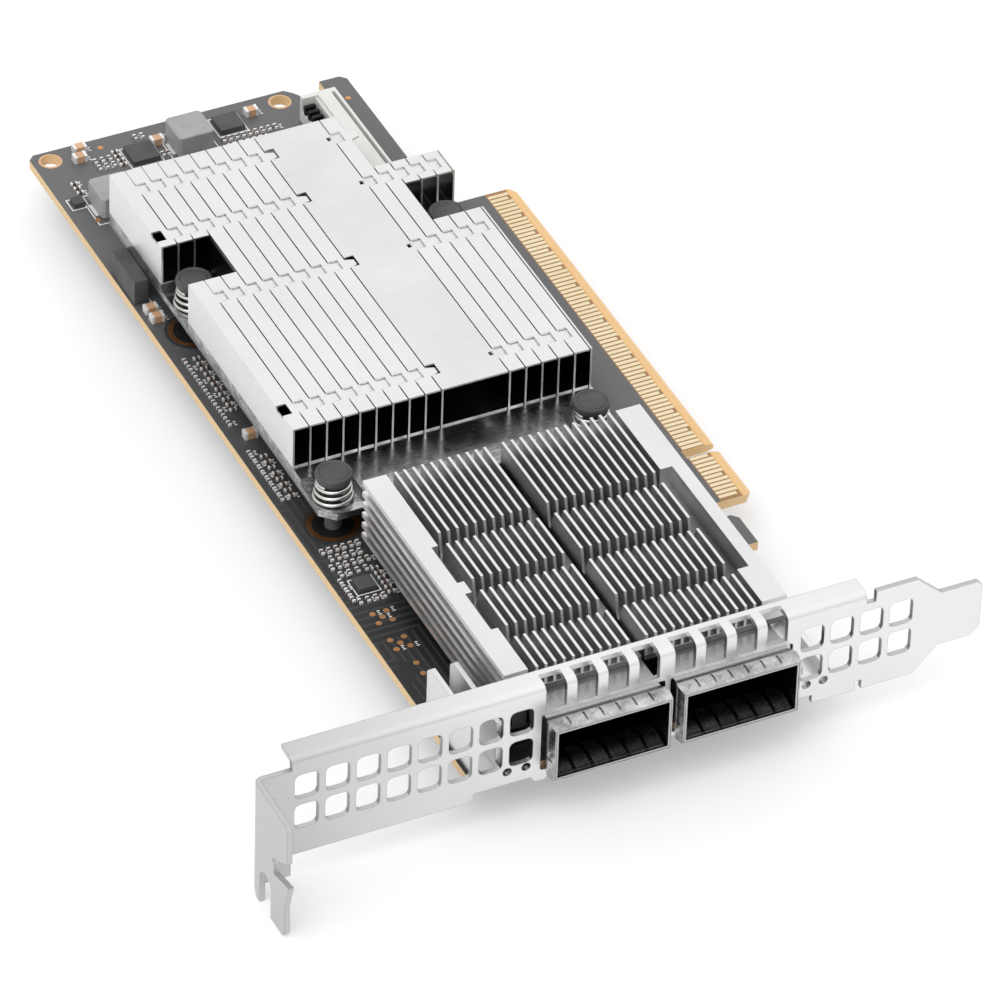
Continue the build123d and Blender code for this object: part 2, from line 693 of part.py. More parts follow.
def bracket_plate():
    """The flat front of the bracket with its tongue and the narrow end before the bend."""
    tongue_top = BRACKET_TOP - TONGUE_DROP
    tongue_bottom = tongue_top - TONGUE_WIDTH
    low_edge = BRACKET_BOTTOM + LOW_EDGE_RISE
    tab_top = TOP + TAB_TOP
    slot = (BOTTOM_SLOT_X - BOTTOM_SLOT_WIDTH / 2, BOTTOM_SLOT_X + BOTTOM_SLOT_WIDTH / 2)
    slot_top = BRACKET_BOTTOM + BOTTOM_SLOT_DEPTH
    points = [
        (TAB_OUTER + BEND_R, tab_top),
        (PLATE_LEFT, tab_top),
        (PLATE_LEFT, BRACKET_TOP - BEND_R),
        (FLANGE_RIGHT, BRACKET_TOP - BEND_R),
        (FLANGE_RIGHT, BRACKET_TOP - RELIEF_DEPTH),
        (FLANGE_RIGHT + 2 * RELIEF_R, BRACKET_TOP - RELIEF_DEPTH),
        (FLANGE_RIGHT + 2 * RELIEF_R, BRACKET_TOP),
        (PLATE_RIGHT, BRACKET_TOP),
        (TONGUE_START, tongue_top),
        (TONGUE_TIP - RELIEF_R, tongue_top),
        (TONGUE_TIP, tongue_top - RELIEF_R),
        (TONGUE_TIP, tongue_bottom + 2 * RELIEF_R),
        (TONGUE_TIP - 2 * RELIEF_R, tongue_bottom),
        (TONGUE_START, tongue_bottom),
        (PLATE_RIGHT, BRACKET_BOTTOM),
        (slot[1], BRACKET_BOTTOM),
        (slot[1], slot_top),
        (slot[0], slot_top),
        (slot[0], BRACKET_BOTTOM),
        (LOW_EDGE_RIGHT, BRACKET_BOTTOM),
        (LOW_EDGE_RIGHT, low_edge),
        (LUG_RIGHT, low_edge),
        (LUG_RIGHT - RELIEF_R, low_edge - LUG_DROP),
        (LUG_LEFT + RELIEF_R, low_edge - LUG_DROP),
        (LUG_LEFT, low_edge),
        (LOW_EDGE_LEFT, low_edge),
        (LOW_EDGE_LEFT, BRACKET_BOTTOM + RELIEF_R),
        (LOW_EDGE_LEFT - RELIEF_R, BRACKET_BOTTOM),
        (PLATE_LEFT, BRACKET_BOTTOM),
        (PLATE_LEFT, tab_top - TAB_WIDTH + EDGE_DROP),
        (TAB_OUTER + BEND_R, tab_top - TAB_WIDTH + EDGE_DROP),
    ]
    return front_plate(points, PLATE_FRONT, PLATE_BACK)


def bend(radius):
    """A quarter section of a bent sheet, about the origin, from straight ahead to straight up."""
    quarter = FULL_TURN / 4
    outer = arc(0, 0, radius, 0, quarter, BEND_STEPS)
    inner = arc(0, 0, radius - SHEET_T, quarter, -quarter, BEND_STEPS)
    return make_face(Polyline(*outer, *inner, close=True))


def flange_bend():
    """The rounded corner between the bracket's plate and its top flange."""
    face = Plane.YZ * (Rot(0, 0, 90) * bend(BEND_R))
    strip = extrude(face, FLANGE_RIGHT - PLATE_LEFT)
    return Pos(PLATE_LEFT, PLATE_FRONT + BEND_R, BRACKET_TOP - BEND_R) * strip


def tab_bend():
    """The rounded corner between the plate and the screw tab."""
    tab_top = TOP + TAB_TOP
    face = Rot(0, 0, 90) * bend(BEND_R)
    strip = extrude(face, TAB_WIDTH - EDGE_DROP)
    return Pos(TAB_OUTER + BEND_R, PLATE_BACK - BEND_R, tab_top - TAB_WIDTH + EDGE_DROP) * strip


def screw_tab():
    """The tab that a chassis screw holds, with its open slot and its alignment notch."""
    tab_top = TOP + TAB_TOP
    low = tab_top - TAB_WIDTH
    root = PLATE_BACK - BEND_R
    end = PLATE_FRONT - TAB_DEPTH
    slot_far = PLATE_FRONT - SLOT_FROM_PLATE
    slot_near = slot_far - SLOT_WIDTH
    notch = PLATE_FRONT - TAB_NOTCH_INNER
    notch_top = TOP + TAB_NOTCH_TOP
    notch_low = notch_top - TAB_NOTCH_HEIGHT
    leg = slot_near - TAB_LEG_WIDTH
    points = [
        (root, tab_top),
        (end + RELIEF_R, tab_top),
        (end, tab_top - RELIEF_R),
        (end, notch_top + TAB_NOTCH_SLOPE),
        (notch, notch_top),
        (notch - RELIEF_R, notch_top - RELIEF_R),
        (notch - RELIEF_R, notch_low),
        (end - RELIEF_R, notch_low + TAB_LEG_RISE),
        (end, notch_low - TAB_LEG_RISE),
        (leg, low + TAB_TIP_CHAMFER),
        (leg, low + RELIEF_R),
        (leg + RELIEF_R, low),
        (root - RELIEF_R, low),
        (root, low + RELIEF_R),
    ]
    tab = side_plate(points, TAB_OUTER, TAB_OUTER + SHEET_T)
    slot = block(TAB_OUTER - 1, TAB_OUTER + 2, slot_near, slot_far, low - 1, low + SLOT_DEPTH)
    centre = Pos(TAB_OUTER, (slot_near + slot_far) / 2, low + SLOT_DEPTH)
    bore = centre * Rot(0, 90, 0) * Cylinder(SLOT_WIDTH / 2, 4 * SHEET_T)
    return cut(tab, [slot, bore])


def window_centres():
    """The X place of the openings that wrap over the bend, four over each port."""
    half = (WINDOW_COUNT - 1) / 2
    offset = WINDOW_SHIFT
    return [port + offset + (i - half) * WINDOW_PITCH for port in PORT_CENTRES for i in range(WINDOW_COUNT)]


def vent_cutters():
    """The two rows of vents at each end of the plate and the four round holes."""
    start = PLATE_LEFT + VENT_FROM_END
    left_space = PORT_CENTRES[0] - PORT_WIDTH / 2 - VENT_FROM_PORT - start
    right_space = PLATE_RIGHT - VENT_FROM_TIP - RIGHT_VENT_START
    columns = [start + i * VENT_PITCH for i in range(int(left_space / VENT_PITCH) + 1)]
    columns += [RIGHT_VENT_START + i * VENT_PITCH for i in range(int(right_space / VENT_PITCH) + 1)]
    half = VENT_SIZE / 2
    tall = VENT_HEIGHT / 2
    cutters = []
    for x in columns:
        for row in VENT_ROWS:
            z = TOP + row
            cutters.append(rounded_window(x - half, x + half, z - tall, z + tall, VENT_RADIUS))
    for x in ROUND_HOLES_X:
        z = TOP + ROUND_HOLE_HEIGHT
        cutters.append(rod_y(x, z, PLATE_FRONT - SHEET_T, PLATE_BACK + SHEET_T, ROUND_HOLE_R))
    return cutters


def port_cutters():
    """The openings for the ports and the wrap-over openings above them."""
    half = PORT_WIDTH / 2 + PORT_CLEARANCE
    z0 = PORT_BOTTOM - PORT_CLEARANCE
    z1 = PORT_TOP + PORT_CLEARANCE
    cutters = [rounded_window(x - half, x + half, z0, z1, PORT_CLEARANCE / 2) for x in PORT_CENTRES]
    wide = WINDOW_WIDTH / 2
    back = PLATE_FRONT + WINDOW_DEPTH
    low = TOP + WINDOW_BOTTOM
    for x in window_centres():
        cutters.append(block(x - wide, x + wide, PLATE_FRONT - 1, back, low, BRACKET_TOP + 1))
    return cutters


def bracket_foot(x, wall_height):
    """A foot bent from the plate, which lies on the board between two upright walls."""
    y0 = PLATE_BACK - SHEET_T / 2
    y1 = PLATE_BACK + FOOT_LENGTH
    z0 = TOP + SEAT_GAP
    top = z0 + wall_height
    slope = [(y0, z0), (y1, z0), (y1, top - FOOT_CHAMFER), (y1 - FOOT_CHAMFER, top), (y0, top)]
    floor = block(x, x + FOOT_WIDTH, y0, y1, z0, z0 + SHEET_T)
    walls = [side_plate(slope, side, side + SHEET_T) for side in (x, x + FOOT_WIDTH - SHEET_T)]
    hole = rod(x + FOOT_WIDTH / 2, FOOT_HOLE_Y, z0 - 1, z0 + SHEET_T + 1, FOOT_HOLE_R)
    return fused([floor] + walls).cut(hole)


def bracket():
    """The whole bracket, folded from one sheet."""
    flange = block(PLATE_LEFT, FLANGE_RIGHT, PLATE_FRONT + BEND_R, PLATE_FRONT + FLANGE_DEPTH,
                   BRACKET_TOP - SHEET_T, BRACKET_TOP)
    feet = [bracket_foot(LEFT_FOOT_X, FOOT_WALL_HEIGHT), bracket_foot(RIGHT_FOOT_X, RIGHT_WALL_HEIGHT)]
    sheet = fused([bracket_plate(), flange_bend(), flange, tab_bend(), screw_tab()] + feet)
    return [cut(sheet, vent_cutters() + port_cutters())]


def foot_screws():
    """The two screws that hold the bracket's feet to the board."""
    z0 = TOP + SEAT_GAP + SHEET_T
    screws = []
    for x in FOOT_CENTRES:
        head = rod(x, FOOT_HOLE_Y, z0, z0 + FOOT_HEAD_T, FOOT_HEAD_R)
        shank = rod(x, FOOT_HOLE_Y, BOTTOM - NUT_T, z0 + FOOT_HEAD_T, FOOT_SCREW_R)
        recess = block(x - FOOT_SCREW_R, x + FOOT_SCREW_R, FOOT_HOLE_Y - DRIVE_SLOT, FOOT_HOLE_Y + DRIVE_SLOT,
                       z0 + FOOT_HEAD_T / 2, z0 + 2 * FOOT_HEAD_T)
        screws.append(fused([head, shank]).cut(recess))
    return screws


def foot_nuts():
    """The hexagonal nuts of the foot screws, under the board."""
    nuts = []
    for x in FOOT_CENTRES:
        body = Pos(x, FOOT_HOLE_Y, BOTTOM - NUT_T) * extrude(RegularPolygon(NUT_R, 6), NUT_T - SEAT_GAP)
        nuts.append(body.cut(rod(x, FOOT_HOLE_Y, BOTTOM * 4, TOP, FOOT_HOLE_R)))
    return nuts


def cage_legs(x):
    """The press-fit legs of one cage, in two rows."""
    half = PORT_WIDTH / 2
    w = CAGE_WALL
    low = PORT_BOTTOM - CAGE_LEG_LENGTH
    first = NEAR_EDGE + CAGE_LEG_LENGTH
    step = (CAGE_REAR - w - CAGE_LEG_WIDTH - first) / (CAGE_LEGS - 1)
    legs = []
    for i in range(CAGE_LEGS):
        y = first + i * step
        for side in (x - half, x + half - w):
            legs.append(block(side, side + w, y, y + CAGE_LEG_WIDTH, low, PORT_BOTTOM + w))
    return legs


def leg_holes():
    """The plated holes in the board that take the legs of both cages."""
    holes = []
    for x in PORT_CENTRES:
        for leg in cage_legs(x):
            middle = leg.center()
            holes.append(rod(middle.X, middle.Y, BOTTOM * 2, TOP * 2, LEG_HOLE_R))
    return holes


def port_cage(x):
    """A folded cage: four walls, closed at the rear, open at its mouth and over the connector's seat."""
    half = PORT_WIDTH / 2
    w = CAGE_WALL
    shell = block(x - half, x + half, MOUTH, CAGE_REAR, PORT_BOTTOM, PORT_TOP)
    inside = block(x - half + w, x + half - w, MOUTH - 1, CAGE_REAR - w, PORT_BOTTOM + w, PORT_TOP - w)
    seat = block(x - half + w, x + half - w, CAGE_REAR - CONNECTOR_DEPTH, CAGE_REAR - w, PORT_BOTTOM - 1,
                 PORT_BOTTOM + 2 * w)
    return [fused([cut(shell, [inside, seat])] + cage_legs(x))]


def port_collar(x):
    """The sprung collar round the mouth: a thin band slit into fingers that bow outwards."""
    half = PORT_WIDTH / 2 + COLLAR_GAP
    z0 = PORT_BOTTOM - COLLAR_GAP
    z1 = PORT_TOP + COLLAR_GAP
    t = COLLAR_T
    b = COLLAR_BULGE
    y0 = MOUTH
    y1 = MOUTH + COLLAR_LENGTH
    middle = y0 + COLLAR_LENGTH * COLLAR_CREST
    levels = ((y0, t), (middle, t + b), (y1, t))
    sections = []
    for y, out in levels:
        face = Plane(origin=(x, y, (z0 + z1) / 2), x_dir=(1, 0, 0), z_dir=(0, 1, 0))
        sections.append(face * Rectangle(2 * (half + out), z1 - z0 + 2 * out))
    outer = fused([loft(sections[:2], ruled=True), loft(sections[1:], ruled=True)])
    hollow = block(x - half, x + half, y0 - 1, y1 + 1, z0, z1)
    band = outer.cut(hollow)
    lip = COLLAR_LIP * 2
    pitch = 2 * half / COLLAR_TOP_FINGERS
    slits = []
    narrow = COLLAR_SLIT / 2
    for i in range(1, COLLAR_TOP_FINGERS):
        at = x - half + i * pitch
        slits.append(block(at - narrow, at + narrow, y0 + lip, y1 - lip, z0 - 1, z1 + 1))
    rise = (z1 - z0) / COLLAR_SIDE_FINGERS
    for i in range(1, COLLAR_SIDE_FINGERS):
        at = z0 + i * rise
        slits.append(block(x - half - 1, x + half + 1, y0 + lip, y1 - lip, at - narrow, at + narrow))
    return [cut(band, slits)]


def port_connector(x):
    """The moulded connector at the cage's rear, with its card slot."""
    half = PORT_WIDTH / 2 - CAGE_WALL - SEAT_GAP
    y1 = CAGE_REAR - CAGE_WALL - SEAT_GAP
    y0 = CAGE_REAR - CONNECTOR_DEPTH + SEAT_GAP
    top = TOP + CONNECTOR_HEIGHT
    body = block(x - half, x + half, y0, y1, TOP, top)
    middle = TOP + CONNECTOR_SLOT_LEVEL
    tall = CONNECTOR_SLOT_HEIGHT / 2
    wide = CONTACT_SPAN / 2 + SLOT_MARGIN
    slot = block(x - wide, x + wide, y0 - 1, y0 + CONNECTOR_SLOT_DEPTH, middle - tall, middle + tall)
    return [body.cut(slot)]


def connector_contacts(x):
    """Two rows of sprung contacts on the walls of a port connector's slot."""
    y0 = CAGE_REAR - CONNECTOR_DEPTH + SEAT_GAP
    middle = TOP + CONNECTOR_SLOT_LEVEL
    tall = CONNECTOR_SLOT_HEIGHT / 2
    contacts = []
    for i in range(CONTACTS_PER_ROW):
        centre = x + (i - (CONTACTS_PER_ROW - 1) / 2) * CONTACT_PITCH
        left = centre - CONTACT_WIDTH / 2
        right = centre + CONTACT_WIDTH / 2
        y2 = y0 + CONNECTOR_SLOT_DEPTH
        contacts.append(block(left, right, y0 + 1, y2, middle + tall - CONTACT_T, middle + tall))
        contacts.append(block(left, right, y0 + 1, y2, middle - tall, middle - tall + CONTACT_T))
    return contacts


def port_fins(start, end):
    """Upright fins in four rows with sloped ends, as many as fit between two X places."""
    top = TOP + PORT_SINK_TOP
    floor = TOP + PORT_SINK_FLOOR - SEAT_GAP
    fins = []
    count = int((end - start - PORT_FIN_T) / PORT_FIN_PITCH) + 1
    for i in range(count):
        x = start + i * PORT_FIN_PITCH
        for y0, y1 in PORT_FIN_ROWS:
            a = max(y0 - TROUGH_SLOPE, PORT_SINK_FRONT)
            b = min(y1 + TROUGH_SLOPE, PORT_SINK_REAR)
            fins.append(side_plate([(a, floor), (b, floor), (y1, top), (y0, top)], x, x + PORT_FIN_T))
    return fins


def port_sink_base(x0, x1):
    """The slab that carries the port fins and lies on the cage."""
    return block(x0, x1, PORT_SINK_FRONT, PORT_SINK_REAR, PORT_TOP + PORT_SINK_SEAT, TOP + PORT_SINK_FLOOR)


def port_sink_middle():
    """Where the two port heatsinks part."""
    return (PORT_CENTRES[0] + PORT_CENTRES[1]) / 2 - PORT_SINK_SHIFT


def left_port_sink():
    """The left port heatsink, with its ribbed skirt beside the cage."""
    x1 = port_sink_middle() - PORT_SINK_SPLIT / 2
    border_end = LEFT_SINK_X + LEFT_BORDER
    top = TOP + PORT_SINK_TOP
    wall_left = LEFT_SINK_X + RIB_DEPTH
    wall_right = PORT_CENTRES[0] - PORT_WIDTH / 2 - PORT_SINK_WALL_GAP
    low = TOP + SIDE_WALL_BOTTOM
    border = block(wall_left, border_end, PORT_SINK_FRONT, PORT_SINK_REAR, PORT_TOP + PORT_SINK_SEAT, top)
    skirt = block(wall_left, wall_right, PORT_SINK_FRONT, PORT_SINK_REAR, low, top)
    ribs = []
    for i in range(RIB_COUNT):
        z = low + i * RIB_PITCH
        ribs.append(block(LEFT_SINK_X, wall_left + RIB_T, PORT_SINK_FRONT, PORT_SINK_REAR, z, z + RIB_T))
    cap = block(LEFT_SINK_X, border_end, PORT_SINK_FRONT, PORT_SINK_REAR, top - RIB_T, top)
    slots = [block(border_end - BORDER_SLOT_WIDTH, border_end + 1, y0, y1, TOP + PORT_SINK_FLOOR, top + 1)
             for y0, y1 in BORDER_SLOTS]
    fins = port_fins(border_end + PORT_FIN_PITCH, x1)
    base = port_sink_base(wall_left, x1)
    sides = cut(fused([border, skirt, cap] + ribs), slots)
    return [fused([base, sides] + fins)]


def right_port_sink():
    """The right port heatsink, with a slotted border at its right."""
    x0 = port_sink_middle() + PORT_SINK_SPLIT / 2
    low = PORT_TOP + PORT_SINK_SEAT
    top = TOP + PORT_SINK_TOP
    border_start = RIGHT_SINK_X - RIGHT_BORDER
    border = block(border_start, RIGHT_SINK_X, PORT_SINK_FRONT, PORT_SINK_REAR, low, top)
    slot = block(border_start - 1, border_start + RIGHT_SLOT_WIDTH, RIGHT_SLOT[0], RIGHT_SLOT[1],
                 TOP + PORT_SINK_FLOOR, top + 1)
    fins = port_fins(x0, border_start)
    base = port_sink_base(x0, RIGHT_SINK_X)
    return [fused([base, border.cut(slot)] + fins)]


def aux_connector():
    """The long white connector behind the main heatsink: a ledge, a deck, a slot and a thin wall."""
    x1 = AUX_X + AUX_WIDTH
    top = TOP + AUX_HEIGHT
    body = block(AUX_X, x1, AUX_FRONT, AUX_REAR, TOP + SEAT_GAP, top)
    deck_x = AUX_X + AUX_LEDGE
    slot_x = x1 - AUX_WALL - AUX_SLOT_WIDTH
    cuts = (
        (AUX_X - 1, deck_x, TOP + AUX_LEDGE_HEIGHT),
        (deck_x, deck_x + AUX_STEP, top - AUX_STEP),
        (slot_x, slot_x + AUX_SLOT_WIDTH, top - AUX_SLOT_DEPTH),
    )
    y0 = AUX_FRONT + AUX_END
    y1 = AUX_REAR - AUX_END
    return [cut(body, [block(start, end, y0, y1, floor, top + 1) for start, end, floor in cuts])]


def aux_pins():
    """The leads on the long connector's ledge, each bent down at the connector's side."""
    z0 = TOP + AUX_LEDGE_HEIGHT
    pins = []
    space = AUX_REAR - AUX_FRONT - 2 * AUX_END - AUX_PIN_WIDTH
    count = int(space / AUX_PIN_PITCH) + 1
    for i in range(count):
        y = AUX_FRONT + AUX_END + i * AUX_PIN_PITCH
        pins.append(block(AUX_X, AUX_X + AUX_PIN_LENGTH, y, y + AUX_PIN_WIDTH, z0, z0 + AUX_PIN_HEIGHT))
    return pins


def chip(x, y, width, length, height):
    """A flat moulded part that sits on the board."""
    return block(x - width / 2, x + width / 2, y - length / 2, y + length / 2, TOP, TOP + height)


def inductors():
    """Moulded power inductors with their corners cut."""
    half = INDUCTOR_SIZE / 2
    c = INDUCTOR_CORNER
    shapes = []
    for x, y in INDUCTOR_PLACES:
        corners = []
        for sx, sy, first in ((-1, -1, 1), (1, -1, 0), (1, 1, 1), (-1, 1, 0)):
            along = (x + sx * (half - c), y + sy * half)
            across = (x + sx * half, y + sy * (half - c))
            corners += [across, along] if first else [along, across]
        shapes.append(plate(corners, TOP + FOIL_T, TOP + INDUCTOR_HEIGHT))
    return shapes


def inductor_terminals():
    """The two flat terminals under each inductor, which show at its sides."""
    half = INDUCTOR_SIZE / 2
    wide = INDUCTOR_SIZE / 4
    shapes = []
    for x, y in INDUCTOR_PLACES:
        for side in (-1, 1):
            outer = x + side * (half + TERMINAL_REACH)
            inner = x + side * half / 2
            x0, x1 = min(outer, inner), max(outer, inner)
            shapes.append(block(x0, x1, y - wide, y + wide, TOP, TOP + FOIL_T))
    return shapes


def power_stages():
    """The flat power chips beside the inductors."""
    return [chip(x, y, size, size, STAGE_HEIGHT) for x, y, size in STAGES]


def small_chips():
    """The small chips on the component side."""
    return [chip(x, y, size, size, SMALL_CHIP_HEIGHT) for x, y, size in SMALL_CHIPS]


def tall_block():
    """The tall moulded part beside the main heatsink's rear left corner."""
    return [chip(TALL_X, TALL_Y, TALL_WIDTH, TALL_LENGTH, TALL_HEIGHT)]


def big_capacitors():
    """Large ceramic capacitors: the ceramic bodies."""
    return [chip(x, y, BIG_CAP_LENGTH - 2 * BIG_CAP_END, BIG_CAP_WIDTH - 2 * END_SKIN, BIG_CAP_HEIGHT)
            for x, y in BIG_CAP_PLACES]


def big_capacitor_ends():
    """The metal ends of the large ceramic capacitors."""
    shapes = []
    reach = (BIG_CAP_LENGTH - BIG_CAP_END) / 2
    for x, y in BIG_CAP_PLACES:
        for side in (-1, 1):
            shapes.append(chip(x + side * reach, y, BIG_CAP_END, BIG_CAP_WIDTH, BIG_CAP_HEIGHT + END_SKIN))
    return shapes


def passive_places():
    """Every small two-ended part: its X and Y place and whether it lies along Y."""
    places = []
    for x0, y0, x1, y1, pitch, along_y in PASSIVE_ROWS:
        steps = round(max(abs(x1 - x0), abs(y1 - y0)) / pitch)
        for i in range(steps + 1):
            places.append((x0 + (x1 - x0) * i / steps, y0 + (y1 - y0) * i / steps, along_y))
    return places


def passives():
    """The bodies of the small two-ended parts."""
    length = PASSIVE_LENGTH - 2 * PASSIVE_END
    width = PASSIVE_WIDTH - 2 * END_SKIN
    return [chip(x, y, width if along_y else length, length if along_y else width, PASSIVE_HEIGHT)
            for x, y, along_y in passive_places()]


def passive_ends():
    """The soldered ends of the small two-ended parts."""
    shapes = []
    reach = (PASSIVE_LENGTH - PASSIVE_END) / 2
    top = PASSIVE_HEIGHT + END_SKIN
    for x, y, along_y in passive_places():
        for side in (-1, 1):
            if along_y:
                shapes.append(chip(x, y + side * reach, PASSIVE_WIDTH, PASSIVE_END, top))
            else:
                shapes.append(chip(x + side * reach, y, PASSIVE_END, PASSIVE_WIDTH, top))
    return shapes


def rear_passives():
    """Small parts on the solder side, under the network chip."""
    shapes = []
    start = -(REAR_COUNT - 1) / 2
    for i in range(REAR_COUNT):
        for j in range(REAR_COUNT):
            x = CHIP_CENTRE_X + (start + i) * REAR_PITCH
            y = CHIP_CENTRE_Y + (start + j) * REAR_PITCH
            half = PASSIVE_WIDTH / 2
            long = PASSIVE_LENGTH / 2
            shapes.append(block(x - long, x + long, y - half, y + half, BOTTOM - PASSIVE_HEIGHT, BOTTOM))
    return shapes


def test_pads():
    """Bare copper pads: two small clusters and some that lie alone."""
    shapes = []
    spots = [(0, 0), (-1, -1), (-1, 1), (1, -1), (1, 1)]
    for x, y in PAD_CLUSTERS:
        for dx, dy in spots:
            at = (x + dx * CLUSTER_PITCH, y + dy * CLUSTER_PITCH)
            shapes.append(rod(*at, TOP, TOP + FOIL_T, TEST_PAD_R))
    shapes += [rod(x, y, TOP, TOP + FOIL_T, TEST_PAD_R) for x, y in LONE_PADS]
    return shapes


def main():
    os.makedirs("parts", exist_ok=True)
    write("circuit_board", circuit_board())
    write("edge_contacts_top", edge_contacts(1))
    write("edge_contacts_bottom", edge_contacts(-1))
    write("mounting_rings", mounting_rings())
    write("keep_out_rings", keep_out_rings())
    for index in range(LEFT_FINS + RIGHT_FINS + 1):
        name = "centre_channel" if index == LEFT_FINS else f"fin_{index + 1:02d}"
        write(name, folded_fin(index))
    write("end_fin", end_fin())
    write("base_plate", base_plate())
    write("spring_screws", spring_screws())
    spring = coil_spring()
    write("coil_springs", [Pos(x, y, 0) * spring for x, y in screw_points()])
    write("network_chip", network_chip())
    write("heat_pad", heat_pad())
    write("bracket", bracket())
    write("foot_screws", foot_screws())
    write("foot_nuts", foot_nuts())
    for side, x in zip(("left", "right"), PORT_CENTRES):
        write(f"{side}_port_cage", port_cage(x))
        write(f"{side}_port_collar", port_collar(x))
        write(f"{side}_port_connector", port_connector(x))
        write(f"{side}_port_contacts", connector_contacts(x))
    write("left_port_heatsink", left_port_sink())
    write("right_port_heatsink", right_port_sink())
    write("aux_connector", aux_connector())
    write("aux_pins", aux_pins())
    write("inductors", inductors())
    write("inductor_terminals", inductor_terminals())
    write("power_stages", power_stages())
    write("small_chips", small_chips())
    write("tall_block", tall_block())
    write("big_capacitors", big_capacitors())
    write("big_capacitor_ends", big_capacitor_ends())
    write("passives", passives())
    write("passive_ends", passive_ends())
    write("rear_passives", rear_passives())
    write("test_pads", test_pads())


main()
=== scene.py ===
"""Dressed scene of an ethernet adapter card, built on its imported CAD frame."""

import json
import logging
import math
from dataclasses import asdict, dataclass, field
from enum import Enum
from functools import cache

import bpy
import numpy as np
from mathutils import Matrix, Vector


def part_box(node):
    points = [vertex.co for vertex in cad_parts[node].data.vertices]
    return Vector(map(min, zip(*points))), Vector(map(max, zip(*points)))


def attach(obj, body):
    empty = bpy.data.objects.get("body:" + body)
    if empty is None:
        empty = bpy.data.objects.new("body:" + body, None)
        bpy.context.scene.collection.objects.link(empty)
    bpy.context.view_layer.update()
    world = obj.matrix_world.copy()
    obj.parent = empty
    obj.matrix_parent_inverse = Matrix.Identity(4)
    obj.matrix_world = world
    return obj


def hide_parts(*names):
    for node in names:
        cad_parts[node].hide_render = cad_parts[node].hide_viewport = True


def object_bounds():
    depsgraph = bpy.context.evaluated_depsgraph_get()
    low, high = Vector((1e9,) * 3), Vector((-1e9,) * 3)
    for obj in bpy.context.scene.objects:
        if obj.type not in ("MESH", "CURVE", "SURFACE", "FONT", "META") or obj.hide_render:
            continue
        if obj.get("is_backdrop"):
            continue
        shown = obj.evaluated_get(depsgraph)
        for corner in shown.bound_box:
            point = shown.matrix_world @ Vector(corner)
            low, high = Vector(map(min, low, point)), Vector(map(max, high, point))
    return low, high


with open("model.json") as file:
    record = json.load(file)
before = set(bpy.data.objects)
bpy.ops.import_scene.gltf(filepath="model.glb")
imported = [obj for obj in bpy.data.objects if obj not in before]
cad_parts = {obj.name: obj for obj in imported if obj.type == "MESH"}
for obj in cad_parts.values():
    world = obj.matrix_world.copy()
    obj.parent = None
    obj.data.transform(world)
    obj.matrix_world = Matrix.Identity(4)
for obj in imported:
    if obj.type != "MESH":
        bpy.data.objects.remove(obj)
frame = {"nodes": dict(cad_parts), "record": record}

LOG = logging.getLogger("adapter_card")
MM = 0.001
BODY = "root"
SIDES = ("left", "right")
FAR_AWAY = 9.0
WHITE = (1.0, 1.0, 1.0)

Pair = tuple[float, float]
Point = tuple[float, float, float]
Colour = tuple[float, float, float]
Shape = tuple[np.ndarray, np.ndarray]
Socket = bpy.types.NodeSocket
Tree = bpy.types.NodeTree
Outputs = bpy.types.NodeOutputs
Material = bpy.types.Material
Thing = bpy.types.Object
Node = bpy.types.Node
Ends = bpy.types.NodeInputs
Value = float | str | Point | Socket


class Slot(str, Enum):
    """The record's material slots."""

    BOARD = "board_laminate"
    GOLD = "gold_contact"
    COPPER = "bare_copper"
    FINS = "sink_aluminium"
    BASE = "base_metal"
    PORT_SINK = "port_sink_aluminium"
    BRACKET = "bracket_steel"
    CAGE = "cage_steel"
    COLLAR = "collar_steel"
    SPRING = "spring_steel"
    FASTENER = "fastener_steel"
    BLACK = "black_plastic"
    WHITE = "white_plastic"
    CONTACT = "contact_metal"
    CHIP = "chip_package"
    PAD = "heat_pad_grey"
    FERRITE = "ferrite"
    CERAMIC = "ceramic_tan"
    SOLDER = "solder"


@dataclass(frozen=True)
class Finish:
    """How one kind of surface looks, with its colours in linear values and its sizes in metres."""

    light: Colour
    dark: Colour
    metallic: float = 0.0  # 0 for a plastic, 1 for a bare metal
    rough: Pair = (0.4, 0.6)  # lowest and highest
    grain: Point = (4000.0, 4000.0, 4000.0)  # grains per metre along X, Y and Z
    patch: float = 120.0  # broad patches per metre
    bump: float = 1e-5  # height of the grain
    edge: float = 0.0  # radius of the rounding that its edges seem to have


@dataclass(frozen=True)
class Softening:
    """A rounded edge for one carried-over node."""

    width: float
    segments: int = 2


@dataclass(frozen=True)
class Hollow:
    """Where a finned piece lies in its own shadow."""

    left: float  # side faces left of this X stay open to the light
    right: float  # so do those to the right of this X
    top: float  # height of the piece's open top
    skin: float  # how far below the top its level faces still count as open
    depth: float  # how deep the shadow reaches its darkest
    near: float  # how dark it is at the top
    tone: float = 0.03  # how light the darkest faces are
    face: float = FAR_AWAY  # how far below the top the faces that look along Y are dark too


@dataclass(frozen=True)
class Sheet:
    """The bracket's sheet: painted shade on its left end that fades out along X, and painted shade on its cut
    edges.
    """

    start: float  # X of the end where the painted shade is darkest
    end: float  # X where the finish has its own colour
    front: float  # Y of the plate's front
    back: float  # Y of its back
    skin: float = 0.05 * MM  # how far inside them a cut edge starts
    # colour of the painted shade at the bracket's left end
    dull: Colour = (0.62, 0.62, 0.625)
    cut: Colour = (0.32, 0.32, 0.325)  # painted shade of the upright cut edges
    sill: Colour = (0.60, 0.60, 0.605)  # of the level ones, which face up: painted light, lighter than the upright ones


@dataclass(frozen=True)
class Rings:
    """Four equal bands of copper round the corners of a rectangle, with painted shadow inside each."""

    middle: Pair
    half: Pair  # half of the rectangle's two sides
    inner: float = 3.3 * MM
    outer: float = 4.15 * MM
    mask: Colour = (0.030, 0.030, 0.031)  # beyond a band
    hole: Colour = (0.010, 0.009, 0.009)  # inside it: painted shadow round the foot of each screw cap
